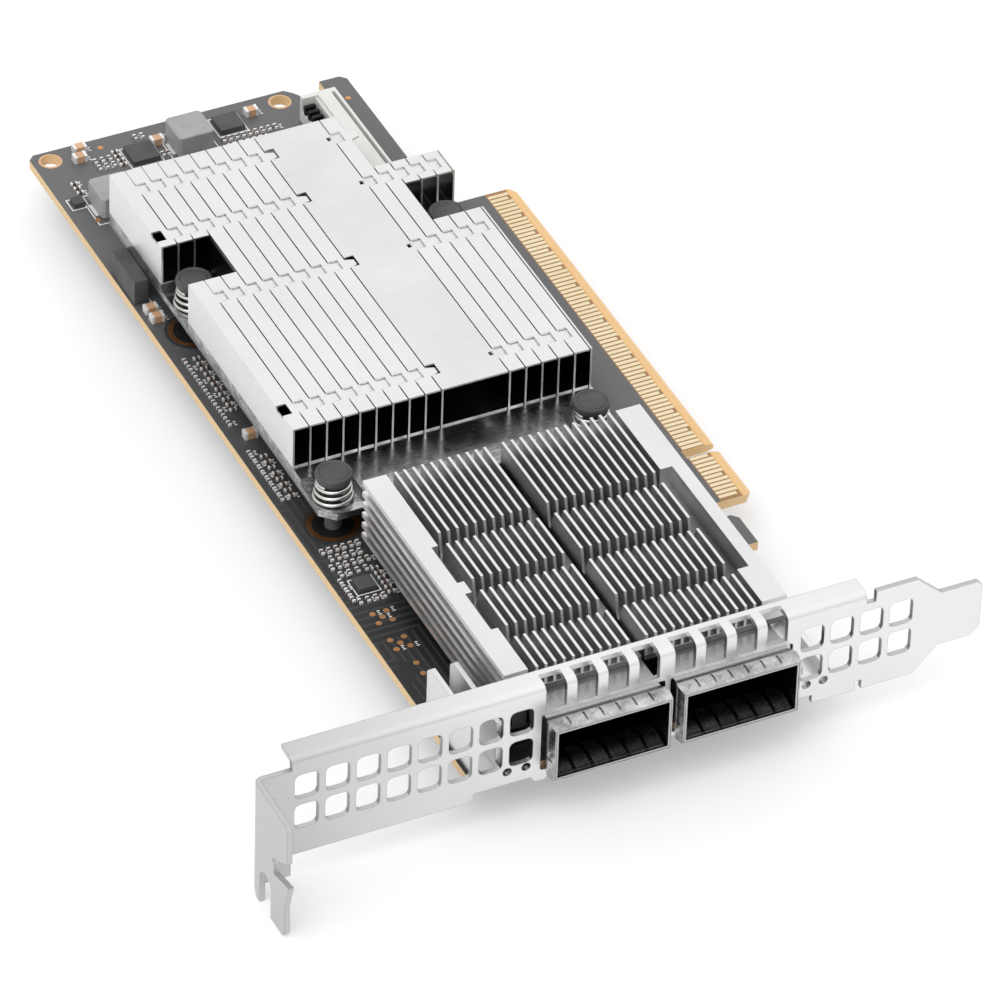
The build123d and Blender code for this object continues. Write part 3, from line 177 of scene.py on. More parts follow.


@dataclass(frozen=True)
class Laminate:
    """The board's masked, bare and cut areas, and the painted light that makes its mask paler towards the
    rear and the right.
    """

    ply: float = 0.26 * MM  # spacing of the plies that the cut edge shows
    tracks: Pair = (1.3 * MM, 1.5 * MM)  # spacing of the buried tracks along X and along Y
    cells: float = 90.0  # fields of tracks per metre
    bare: Pair = (-5.45 * MM, -13.0 * MM)  # X and Y past which the connector has no mask
    pads: float = -1.7 * MM  # X up to which its contacts reach
    rear: Pair = (-20.0 * MM, 100.0 * MM)  # the stretch of Y over which painted light makes the mask paler
    right: Pair = (-25.0 * MM, -8.0 * MM)  # the stretch of X over which it does too
    # the mask's colour where the most light is painted on it
    pale: Colour = (0.118, 0.118, 0.120)
    track: Colour = (0.110, 0.110, 0.112)
    between: Colour = (0.33, 0.18, 0.075)  # between the contacts
    resin: tuple[Colour, Colour] = ((0.70, 0.40, 0.15), (0.79, 0.49, 0.21))  # outside them
    plies: tuple[Colour, Colour] = ((0.78, 0.56, 0.30), (0.64, 0.42, 0.20))


@dataclass(frozen=True)
class Lamp:
    """One soft area light, in metres and watts."""

    name: str
    place: Point
    target: Point
    size: Pair
    power: float
    mirrored: bool = False  # whether shiny pieces show it


@dataclass(frozen=True)
class Lens:
    """The photograph's camera, solved from the card's own edges, in degrees and millimetres."""

    tilt: float = -50.87  # about the camera's X
    roll: float = 1.53  # about its Y
    turn: float = 25.45  # about the card's Z
    place: Point = (-497.86, -916.06, 835.74)
    length: float = 309.5
    sensor: float = 36.0
    reach: float = 20.0  # how far it sees, in metres


ALONG_X = (500.0, 9000.0, 9000.0)
ALONG_Y = (9000.0, 400.0, 9000.0)
BRUSHED_X = (260.0, 7000.0, 7000.0)
# streaks along X for the base plate: its scratches and its painted reflections
SCRATCHES_AND_REFLECTIONS = (420.0, 2300.0, 1500.0)
FINE = (5000.0, 5000.0, 5000.0)
FINER = (7000.0, 7000.0, 7000.0)
COARSE = (2500.0, 2500.0, 2500.0)

FINISHES: dict[Slot, Finish] = {
    Slot.GOLD: Finish((1.0, 0.88, 0.63), (0.93, 0.77, 0.50), 1.0, (0.22, 0.36), bump=2e-6),
    Slot.COPPER: Finish((0.66, 0.31, 0.12), (0.46, 0.20, 0.07), 1.0, (0.30, 0.48), bump=3e-6),
    Slot.FINS: Finish((0.95, 0.95, 0.955), (0.87, 0.87, 0.88), 1.0, (0.30, 0.42), ALONG_Y, 60.0, 3e-6),
    # the base plate runs from near black to near white in streaked patches: scratches, and painted
    # reflections
    Slot.BASE: Finish((0.88, 0.88, 0.89), (0.10, 0.10, 0.104), 1.0, (0.12, 0.36), SCRATCHES_AND_REFLECTIONS, 420.0, 1.5e-5),
    Slot.PORT_SINK: Finish((0.94, 0.94, 0.945), (0.84, 0.84, 0.85), 1.0, (0.30, 0.44), ALONG_Y, 90.0, 3e-6),
    Slot.BRACKET: Finish(
        (0.97, 0.97, 0.975), (0.90, 0.90, 0.905), 1.0, (0.26, 0.38), ALONG_X, 70.0, 2e-6, 0.16 * MM
    ),
    Slot.CAGE: Finish(
        (0.66, 0.66, 0.66), (0.50, 0.50, 0.51), 1.0, (0.20, 0.34), ALONG_Y, 90.0, 2e-6, 0.08 * MM
    ),
    Slot.COLLAR: Finish(
        (0.92, 0.915, 0.90), (0.24, 0.238, 0.235), 1.0, (0.14, 0.26), ALONG_Y, 330.0, 1e-6, 0.08 * MM
    ),
    Slot.SPRING: Finish((0.82, 0.81, 0.78), (0.60, 0.59, 0.56), 1.0, (0.18, 0.34), bump=3e-6),
    Slot.FASTENER: Finish(
        (0.74, 0.74, 0.73), (0.52, 0.52, 0.52), 1.0, (0.24, 0.42), bump=5e-6, edge=0.12 * MM
    ),
    Slot.BLACK: Finish((0.088, 0.088, 0.090), (0.040, 0.040, 0.042), 0.0, (0.46, 0.66), FINE, 160.0, 1.2e-5),
    Slot.WHITE: Finish((0.74, 0.735, 0.71), (0.62, 0.615, 0.59), 0.0, (0.42, 0.58), FINE, 140.0, 8e-6),
    Slot.CONTACT: Finish((0.78, 0.55, 0.26), (0.58, 0.38, 0.16), 1.0, (0.22, 0.36), bump=2e-6),
    Slot.CHIP: Finish((0.085, 0.085, 0.088), (0.040, 0.040, 0.043), 0.0, (0.44, 0.62), FINE, 300.0, 9e-6),
    Slot.PAD: Finish((0.42, 0.44, 0.48), (0.30, 0.32, 0.35), 0.0, (0.7, 0.9)),
    Slot.FERRITE: Finish((0.40, 0.40, 0.405), (0.28, 0.28, 0.285), 0.0, (0.42, 0.60), FINE, 350.0, 1.5e-5),
    Slot.CERAMIC: Finish((0.70, 0.44, 0.26), (0.48, 0.28, 0.16), 0.0, (0.34, 0.52), FINE, 500.0, 6e-6),
    Slot.SOLDER: Finish((0.93, 0.93, 0.92), (0.74, 0.74, 0.73), 0.25, (0.24, 0.46), FINE, 700.0, 8e-6),
}

MASK = Finish((0.016, 0.016, 0.0165), (0.007, 0.007, 0.0075), 0.0, (0.38, 0.52), COARSE, 45.0, 1.2e-5)
RESISTOR = Finish((0.17, 0.105, 0.080), (0.070, 0.045, 0.040), 0.0, (0.34, 0.52), FINE, 900.0, 6e-6)
RING_COPPER = Finish((0.86, 0.58, 0.37), (0.74, 0.44, 0.24), 1.0, (0.24, 0.38), bump=2e-6)
PAD_COPPER = Finish((0.80, 0.43, 0.20), (0.62, 0.30, 0.12), 1.0, (0.24, 0.40), bump=2e-6)
DARK_PINS = Finish((0.060, 0.060, 0.062), (0.020, 0.020, 0.022), 1.0, (0.30, 0.50), FINE, 400.0, 4e-6)
INNER_STEEL = Finish((0.85, 0.85, 0.855), (0.60, 0.60, 0.605), 1.0, (0.18, 0.34), ALONG_Y, 200.0, 2e-6)
# pale and only partly metallic, so that the plates in the lock windows look lit: painted light
LOCK_SHEET = Finish((0.93, 0.93, 0.935), (0.84, 0.84, 0.85), 0.4, (0.34, 0.46), ALONG_Y, 60.0, 3e-6)
CHANNEL = Finish((0.95, 0.95, 0.955), (0.80, 0.80, 0.81), 1.0, (0.30, 0.46), BRUSHED_X, 60.0, 4e-6)
INK = Finish((0.95, 0.95, 0.94), (0.84, 0.84, 0.83), 0.0, (0.5, 0.7), FINER, 900.0, 4e-6)

NODE_FINISHES: dict[str, Finish] = {
    "passives": RESISTOR,
    "rear_passives": RESISTOR,
    "mounting_rings": RING_COPPER,
    "test_pads": PAD_COPPER,
    "aux_pins": DARK_PINS,
}

SOFT_EDGES: dict[Slot, Softening] = {
    Slot.WHITE: Softening(0.12 * MM),
    Slot.CHIP: Softening(0.08 * MM),
    Slot.FERRITE: Softening(0.30 * MM, 3),
    Slot.CERAMIC: Softening(0.05 * MM),
    Slot.SOLDER: Softening(0.04 * MM),
}

LAMPS = (
    Lamp("key", (-0.55, -0.25, 1.05), (-0.03, 0.03, 0.0), (0.9, 0.9), 5.0, True),
    Lamp("rim", (0.75, 0.95, 0.70), (-0.03, 0.03, 0.0), (1.1, 0.8), 3.0),
    Lamp("front", (-0.10, -1.10, 0.40), (-0.03, -0.04, 0.0), (0.9, 0.5), 1.0),
)


class Graph:
    """A node tree with short calls for adding and joining its nodes."""

    def __init__(self, tree: Tree) -> None:
        """Keeps the tree of a material, a world or a group."""
        self.tree = tree

    def add(self, kind: str, inputs: dict[str | int, Value] | None = None, **settings: object) -> Node:
        """Adds a node.

        Args:
            kind: its Blender type name.
            inputs: what goes into its inputs, by name or number.
            **settings: attributes to set on it.

        Returns:
            The new node.
        """
        node = self.tree.nodes.new(kind)
        for name, value in settings.items():
            setattr(node, name, value)
        self.fill(node.inputs, inputs or {})
        return node

    def fill(self, ends: Ends, values: dict[str | int, Value]) -> None:
        """Gives inputs their values: a number, a vector, a colour or the output to link to it.

        Args:
            ends: the inputs of a node.
            values: the values by name or number.
        """
        for name, value in values.items():
            if isinstance(value, Socket):
                self.tree.links.new(value, ends[name])
            else:
                ends[name].default_value = (*value, 1.0) if ends[name].type == "RGBA" else value

    def maths(self, operation: str, *values: float | Socket) -> Socket:
        """Adds a Math node with a number or a socket for each of its inputs."""
        return self.add("ShaderNodeMath", dict(enumerate(values)), operation=operation).outputs[0]

    def product(self, value: Socket, *others: float | Socket) -> Socket:
        """Multiplies values with each other.

        Args:
            value: the first value.
            *others: the rest.

        Returns:
            Their product.
        """
        for other in others:
            value = self.maths("MULTIPLY", value, other)
        return value

    def above(self, value: Socket, limit: float | Socket) -> Socket:
        """1 where a value is greater than a limit, and otherwise 0."""
        return self.maths("GREATER_THAN", value, limit)

    def below(self, value: Socket, limit: float | Socket) -> Socket:
        """1 where a value is less than a limit, and otherwise 0."""
        return self.maths("LESS_THAN", value, limit)

    def less(self, value: float | Socket, other: float | Socket) -> Socket:
        """A value less another."""
        return self.maths("SUBTRACT", value, other)

    def size(self, value: Socket) -> Socket:
        """A value without its sign."""
        return self.maths("ABSOLUTE", value)

    def wave(self, value: Socket, length: float) -> Socket:
        """The sine of a value, with waves of a length in metres."""
        return self.maths("SINE", self.product(value, 2 * math.pi / length))

    def parts(self, vector: Socket) -> tuple[Socket, ...]:
        """Splits a vector into its X, Y and Z."""
        return tuple(self.add("ShaderNodeSeparateXYZ", {0: vector}).outputs)

    def own(self, title: str = "Object") -> Socket:
        """The object's own coordinates, or another output of the Texture Coordinate node."""
        return self.add("ShaderNodeTexCoord").outputs[title]

    def blend(self, factor: Socket, low: Colour | Socket, high: Colour | Socket) -> Socket:
        """Mixes two colours, where a factor of 0 gives the first and 1 the second."""
        return self.add("ShaderNodeMix", {0: factor, 6: low, 7: high}, data_type="RGBA").outputs[2]

    def spread(self, value: Socket, low: float, high: float, start: float = 0.0, end: float = 1.0) -> Socket:
        """Maps a value from one range to another, and clamps it.

        Args:
            value: the incoming value.
            low: its low end.
            high: its high end.
            start: what the low end becomes.
            end: what the high end becomes.

        Returns:
            The mapped value.
        """
        ends = {"From Min": low, "From Max": high, "To Min": start, "To Max": end}
        return self.add("ShaderNodeMapRange", {"Value": value, **ends}).outputs["Result"]

    def group(self, tree: Tree, numbers: dict[str, float | Point] | None = None) -> Outputs:
        """Adds a group that reads the object's coordinates, and its normals where it has an input for them.

        Args:
            tree: the group.
            numbers: values for its other inputs, by name.

        Returns:
            Its outputs.
        """
        node = self.add("ShaderNodeGroup", node_tree=tree)
        self.fill(node.inputs, {"Vector": self.own(), **(numbers or {})})
        if "Normal" in node.inputs:
            self.fill(node.inputs, {"Normal": self.own("Normal")})
        return node.outputs


class GroupShelf:
    """Makes the shared node groups, each once."""

    def _new(
        self, name: str, inputs: tuple[str, ...], outputs: tuple[str, ...]
    ) -> tuple[Graph, Outputs, Ends]:
        """Starts a group.

        Args:
            name: its name.
            inputs: names of its inputs. All are numbers but three vectors.
            outputs: names of its outputs, which are all numbers.

        Returns:
            Its graph, what it reads and what it fills in.
        """
        tree = bpy.data.node_groups.new(name, "ShaderNodeTree")
        for title in inputs:
            kind = "NodeSocketVector" if title in ("Vector", "Normal", "Grain Scale") else "NodeSocketFloat"
            tree.interface.new_socket(name=title, in_out="INPUT", socket_type=kind)
        for title in outputs:
            tree.interface.new_socket(name=title, in_out="OUTPUT", socket_type="NodeSocketFloat")
        graph = Graph(tree)
        return graph, graph.add("NodeGroupInput").outputs, graph.add("NodeGroupOutput").inputs

    @cache
    def surface(self) -> Tree:
        """The group that gives any surface its patches and its directional grain.

        Returns:
            A group with Patches, Grain and Height outputs.
        """
        graph, start, end = self._new(
            "surface_variation", ("Vector", "Grain Scale", "Patch Scale"), ("Patches", "Grain", "Height")
        )
        sides = {0: start["Vector"], 1: start["Grain Scale"]}
        stretched = graph.add("ShaderNodeVectorMath", sides, operation="MULTIPLY").outputs[0]
        fine = {"Vector": stretched, "Scale": 1.0, "Detail": 3.0}
        broad = {"Vector": start["Vector"], "Scale": start["Patch Scale"], "Detail": 4.0, "Distortion": 0.4}
        grain, patch = (graph.add("ShaderNodeTexNoise", inputs).outputs["Fac"] for inputs in (fine, broad))
        patch_share = 0.4
        height = graph.maths("MULTIPLY_ADD", patch, patch_share, grain)
        patches, grains = graph.spread(patch, 0.3, 0.7), graph.spread(grain, 0.25, 0.75)
        graph.fill(end, {"Patches": patches, "Grain": grains, "Height": height})
        return graph.tree

    @cache
    def shade(self) -> Tree:
        """The group that finds the faces of a finned piece that see little light.

        Side faces between Left and Right count, and level ones more than Skin below the Top. Their shade
        grows with depth, from Near to 1. Faces along Y count when they lie more than Face below the Top.

        Returns:
            A group with a Shade output, 1 where it is darkest.
        """
        numbers = ("Left", "Right", "Top", "Skin", "Depth", "Near", "Face")
        graph, start, end = self._new("inner_shade", ("Vector", "Normal", *numbers), ("Shade",))
        half_turned, face_shade = 0.5, 0.9
        x, _, z = graph.parts(start["Vector"])
        turned = [graph.above(graph.size(part), half_turned) for part in graph.parts(start["Normal"])]
        upright, ahead, level = turned
        top, skin = start["Top"], start["Skin"]
        within = graph.product(graph.above(x, start["Left"]), graph.below(x, start["Right"]))
        lying = graph.product(level, graph.below(z, graph.less(top, skin)))
        hidden = graph.product(graph.maths("MAXIMUM", upright, lying), within)
        down = graph.maths("DIVIDE", graph.less(graph.less(top, z), skin), start["Depth"])
        deep = graph.maths("MINIMUM", graph.maths("MAXIMUM", down, start["Near"]), 1.0)
        covered = graph.product(ahead, graph.below(z, graph.less(top, start["Face"])), face_shade)
        graph.fill(end, {"Shade": graph.maths("MAXIMUM", graph.product(hidden, deep), covered)})
        return graph.tree

    @cache
    def rings(self) -> Tree:
        """The group that finds the bands round four screws, from each point's distance to the nearest axis.

        Returns:
            A group with Band and Inside outputs.
        """
        numbers = ("Middle X", "Middle Y", "Half X", "Half Y", "Inner", "Outer")
        graph, start, end = self._new("four_rings", ("Vector", *numbers), ("Band", "Inside"))
        squares = []
        for axis, place in zip("XY", graph.parts(start["Vector"])):
            away = graph.size(graph.less(place, start[f"Middle {axis}"]))
            off = graph.less(away, start[f"Half {axis}"])
            squares.append(graph.product(off, off))
        radius = graph.maths("SQRT", graph.maths("ADD", *squares))
        inside = graph.below(radius, start["Inner"])
        graph.fill(end, {"Inside": inside, "Band": graph.less(graph.below(radius, start["Outer"]), inside)})
        return graph.tree

    @cache
    def laminate(self, sizes: Laminate) -> Tree:
        """The group that tells the board's cut edge and its bare connector from its masked faces, and finds
        where light is painted on the mask.

        Args:
            sizes: the board's areas.

        Returns:
            A group with Edge, Ply, Traces, Bare and Pads outputs, and one more that is 1 where the most light
            is painted on the mask.
        """
        titles = ("Edge", "Ply", "Traces", "Bare", "Pads", "Fade")
        graph, start, end = self._new("board_masks", ("Vector", "Normal"), titles)
        x, y, z = graph.parts(start["Vector"])
        level = graph.size(graph.parts(start["Normal"])[2])
        fields = {"Vector": start["Vector"], "Scale": sizes.cells}
        cells = graph.add("ShaderNodeTexVoronoi", fields, distance="CHEBYCHEV").outputs["Color"]
        pick = graph.add("ShaderNodeSeparateColor", {0: cells}).outputs[0]
        line = (0.55, 0.75)
        along, across = (graph.spread(graph.wave(*both), *line) for both in zip((x, y), sizes.tracks))
        first = graph.product(along, graph.above(pick, 0.62))
        second = graph.product(across, graph.below(pick, 0.34))
        bare = graph.product(graph.above(x, sizes.bare[0]), graph.above(y, sizes.bare[1]))
        graph.fill(end, {
            "Edge": graph.spread(level, 0.99, 0.9),
            "Ply": graph.spread(graph.wave(z, sizes.ply), 0.2, 0.9),
            "Traces": graph.maths("ADD", first, second),
            "Bare": bare,
            "Pads": graph.product(bare, graph.below(x, sizes.pads)),
            "Fade": graph.maths("MAXIMUM", graph.spread(y, *sizes.rear), graph.spread(x, *sizes.right)),
        })
        return graph.tree


class Paint:
    """One material in the making."""

    def __init__(self, name: str, finish: Finish, groups: GroupShelf) -> None:
        """Starts the material with its patches and grain.

        Args:
            name: its name.
            finish: its colours and numbers.
            groups: the shared node groups.
        """
        self.material = bpy.data.materials.new(name)
        self.material.use_nodes = True
        self.graph = Graph(self.material.node_tree)
        self.inputs = self.material.node_tree.nodes["Principled BSDF"].inputs
        self.finish = finish
        self.groups = groups
        self.varied = self.graph.group(
            groups.surface(), {"Grain Scale": finish.grain, "Patch Scale": finish.patch}
        )

    def rounding(self, radius: float) -> Socket:
        """The normal of a Bevel node, which makes edges look rounded."""
        return self.graph.add("ShaderNodeBevel", {"Radius": radius}, samples=6).outputs["Normal"]

    def relief(self, height: Socket) -> Material:
        """Gives the material its relief and, if the finish has them, rounded edges.

        Args:
            height: the relief's height, from about 0 to 1.

        Returns:
            The finished material.
        """
        values = {"Strength": 1.0, "Distance": self.finish.bump, "Height": height}
        if self.finish.edge:
            values["Normal"] = self.rounding(self.finish.edge)
        bump = self.graph.add("ShaderNodeBump", values).outputs["Normal"]
        self.graph.fill(self.inputs, {"Normal": bump})
        return self.material

    def hide(self, hollow: Hollow, colour: Socket) -> Socket:
        """Darkens the faces that lie in a piece's own shadow.

        Args:
            hollow: where the shadow is.
            colour: the colour in the light.

        Returns:
            The new colour.
        """
        numbers = {name.title(): number for name, number in asdict(hollow).items()}
        tone = numbers.pop("Tone")
        low = tuple(tone * part for part in (0.4, 0.4, 0.42))
        high = tuple(tone * part for part in (1.9, 1.9, 1.95))
        dark = self.graph.blend(self.varied["Patches"], low, high)
        return self.graph.blend(self.graph.group(self.groups.shade(), numbers)["Shade"], colour, dark)

    def fold(self, sheet: Sheet, colour: Socket) -> Socket:
        """Paints shade on the bracket's left end that fades out along X, and paints shade on the cut edges of
        its plate, lighter on the level ones.

        Args:
            sheet: the bracket's sheet.
            colour: its own colour.

        Returns:
            The new colour.
        """
        graph = self.graph
        x, y, _ = graph.parts(graph.own())
        _, ahead, level = graph.parts(graph.own("Normal"))
        front, back = sheet.front + sheet.skin, sheet.back - sheet.skin
        between = graph.product(graph.above(y, front), graph.below(y, back))
        across = graph.below(graph.size(ahead), 0.3)
        swept = graph.blend(graph.spread(x, sheet.start, sheet.end), sheet.dull, colour)
        edges = graph.blend(graph.spread(graph.size(level), 0.3, 0.8), sheet.cut, sheet.sill)
        return graph.blend(graph.product(between, across), swept, edges)

    def rim(self, colour: Socket) -> Socket:
        """Paints a thin line of shade along the edges, where the rounded normal leaves the true one.

        Args:
            colour: the colour away from the edges.

        Returns:
            The new colour.
        """
        wider, darker, strength = 1.3, 0.3, 0.6
        graph = self.graph
        true = graph.add("ShaderNodeNewGeometry").outputs["True Normal"]
        normals = {0: self.rounding(self.finish.edge * wider), 1: true}
        turn = graph.add("ShaderNodeVectorMath", normals, operation="DOT_PRODUCT").outputs["Value"]
        line = graph.spread(turn, 0.99, 0.86, 0.0, strength)
        return graph.blend(line, colour, tuple(darker * part for part in self.finish.dark))

    def rough(self, amount: Socket, start: float, end: float) -> None:
        """Spreads the roughness from its lowest, where an amount is start, to its highest at end."""
        self.graph.fill(self.inputs, {"Roughness": self.graph.spread(amount, start, end, *self.finish.rough)})


class Paints:
    """Makes one material for each finish."""

    def __init__(self) -> None:
        """Starts with an empty shelf of groups."""
        self.groups = GroupShelf()

    def ringed(self, name: str, finish: Finish, rings: Rings) -> Material:
        """Bare copper in a band round each of four screws, painted shadow inside it, and mask beyond it.

        Args:
            name: the material's name.
            finish: the copper's colours and numbers.
            rings: where the bands lie.

        Returns:
            The material.
        """
        paint = Paint(name, finish, self.groups)
        graph = paint.graph
        numbers = {"Inner": rings.inner, "Outer": rings.outer}
        for axis, middle, half in zip("XY", rings.middle, rings.half):
            numbers |= {f"Middle {axis}": middle, f"Half {axis}": half}
        found = graph.group(self.groups.rings(), numbers)
        copper = graph.blend(paint.varied["Patches"], finish.dark, finish.light)
        # painted shadow inside each band, round the foot of its screw cap
        around = graph.blend(found["Inside"], rings.mask, rings.hole)
        graph.fill(paint.inputs, {
            "Base Color": graph.blend(found["Band"], around, copper),
            "Metallic": graph.product(found["Band"], finish.metallic),
        })
        paint.rough(paint.varied["Grain"], 0.0, 1.0)
        return paint.relief(paint.varied["Height"])

    def plain(
        self, name: str, finish: Finish, hollow: Hollow | None = None, sheet: Sheet | None = None
    ) -> Material:
        """A material with patches, grain and relief.

        Args:
            name: the material's name.
            finish: its colours and numbers.
            hollow: where it lies in its own shadow, if it has fins.
            sheet: where shade is painted on it, if it is the bracket.

        Returns:
            The material.
        """
        paint = Paint(name, finish, self.groups)
        graph = paint.graph
        patch_share = 0.55
        patches = graph.product(paint.varied["Patches"], patch_share)
        amount = graph.maths("MULTIPLY_ADD", paint.varied["Grain"], 1 - patch_share, patches)
        colour = graph.blend(amount, finish.dark, finish.light)
        if sheet:
            # painted shade on the bracket's left end and on its cut edges
            colour = paint.fold(sheet, colour)
        if finish.edge:
            # a thin line of painted shade along the rounded edges
            colour = paint.rim(colour)
        if hollow:
            colour = paint.hide(hollow, colour)
        graph.fill(paint.inputs, {"Base Color": colour, "Metallic": finish.metallic})
        paint.rough(amount, 1.0, 0.0)
        return paint.relief(paint.varied["Height"])

    def board(self, name: str, finish: Finish, sizes: Laminate) -> Material:
        """Solder mask over laminate, with the bare plies on the cut edge and painted light that makes the
        mask paler towards the rear and the right.

        Args:
            name: the material's name.
            finish: the mask's colours and numbers.
            sizes: the board's areas and their colours.

        Returns:
            The material.
        """
        paint = Paint(name, finish, self.groups)
        graph, varied = paint.graph, paint.varied
        found = graph.group(self.groups.laminate(sizes))
        track_share, relief_share = 0.25, 0.25
        mask = graph.blend(varied["Patches"], finish.dark, finish.light)
        # paints light on the mask, paler towards the rear and the right
        lit_mask = graph.blend(found["Fade"], mask, sizes.pale)
        traced = graph.blend(graph.product(found["Traces"], track_share), lit_mask, sizes.track)
        bare = graph.blend(found["Pads"], graph.blend(varied["Patches"], *sizes.resin), sizes.between)
        face = graph.blend(found["Bare"], traced, bare)
        plies = graph.blend(found["Ply"], *sizes.plies)
        graph.fill(paint.inputs, {"Base Color": graph.blend(found["Edge"], face, plies)})
        paint.rough(varied["Grain"], 0.0, 1.0)
        return paint.relief(graph.maths("MULTIPLY_ADD", varied["Height"], relief_share, found["Traces"]))


class MeshShop:
    """Builds meshes from whole arrays of points and faces."""

    @staticmethod
    def make(
        name: str, points: np.ndarray, faces: list[list[int]], paint: Material | None, smooth: bool = False
    ) -> Thing:
        """Makes an object and links it to the scene.

        Args:
            name: the object's name.
            points: an N by 3 array in metres.
            faces: the point numbers of each face.
            paint: its material, if it is to be seen.
            smooth: whether its faces are shaded smooth.

        Returns:
            The object.
        """
        mesh = bpy.data.meshes.new(name)
        mesh.from_pydata(points.tolist(), [], faces)
        mesh.polygons.foreach_set("use_smooth", np.full(len(faces), smooth))
        mesh.update()
        if paint:
            mesh.materials.append(paint)
        thing = bpy.data.objects.new(name, mesh)
        bpy.context.scene.collection.objects.link(thing)
        return thing

    @staticmethod
    def points_of(node: str) -> np.ndarray:
        """Reads the points of a CAD node.

        Args:
            node: its name.

        Returns:
            An N by 3 array in metres.
        """
        mesh = frame["nodes"][node].data
        points = np.empty(len(mesh.vertices) * 3)
        mesh.vertices.foreach_get("co", points)
        return points.reshape(-1, 3)

    @staticmethod
    def grid_faces(rows: int, columns: int) -> np.ndarray:
        """Faces of a tube: each joins two neighbours on a ring to the same two on the next ring.

        Args:
            rows: how many rings.
            columns: how many points in each.

        Returns:
            An array of four-sided faces.
        """
        i, j = np.meshgrid(np.arange(rows - 1), np.arange(columns), indexing="ij")
        here = i * columns + j
        right = i * columns + (j + 1) % columns
        return np.stack([here, right, right + columns, here + columns], -1).reshape(-1, 4)

    @classmethod
    def tube(cls, path: np.ndarray, radius: np.ndarray, sides: int) -> Shape:
        """Sweeps a circle, square to the path, along it.

        Args:
            path: an N by 3 array of points.
            radius: the radius at each point.
            sides: how many points round the circle.

        Returns:
            The points and the faces.
        """
        ahead = np.gradient(path, axis=0)
        ahead /= np.linalg.norm(ahead, axis=1, keepdims=True)
        side = np.cross(ahead, np.array([0.0, 0.0, 1.0]))
        side /= np.linalg.norm(side, axis=1, keepdims=True)
        up = np.cross(side, ahead)
        angle = np.linspace(0, 2 * np.pi, sides, endpoint=False)[None, :, None]
        ring = np.cos(angle) * side[:, None, :] + np.sin(angle) * up[:, None, :]
        points = path[:, None, :] + radius[:, None, None] * ring
        return points.reshape(-1, 3), cls.grid_faces(len(path), sides)[:, ::-1]

    @staticmethod
    def boxes(plans: np.ndarray, low: float, high: float) -> Shape:
        """Raises rectangles into flat boxes between two levels.

        Args:
            plans: an N by 4 array of left, right, near and far limits.
            low: height of their lower faces.
            high: height of their upper faces.

        Returns:
            The points and the faces.
        """
        x0, x1, y0, y1 = plans.T
        plan = ((x0, y0), (x1, y0), (x1, y1), (x0, y1))
        corners = [np.stack([x, y, np.full(len(x), z)], -1) for z in (low, high) for x, y in plan]
        box = np.array([[0, 3, 2, 1], [4, 5, 6, 7], [0, 1, 5, 4], [1, 2, 6, 5], [2, 3, 7, 6], [3, 0, 4, 7]])
        faces = np.arange(len(plans))[:, None, None] * 8 + box[None]
        return np.stack(corners, 1).reshape(-1, 3), faces.reshape(-1, 4)

    @classmethod
    def lathe(cls, profile: np.ndarray, segments: int) -> Shape:
        """Turns a profile round the Z axis.

        Args:
            profile: an N by 2 array of radius and height, from below to above.
            segments: how many steps round.

        Returns:
            The points and the faces.
        """
        angle = np.linspace(0, 2 * np.pi, segments, endpoint=False)
        ring = np.stack([np.cos(angle), np.sin(angle)], -1)
        points = np.empty((len(profile), segments, 3))
        points[:, :, :2] = profile[:, 0, None, None] * ring[None]
        points[:, :, 2] = profile[:, 1, None]
        return points.reshape(-1, 3), cls.grid_faces(len(profile), segments)


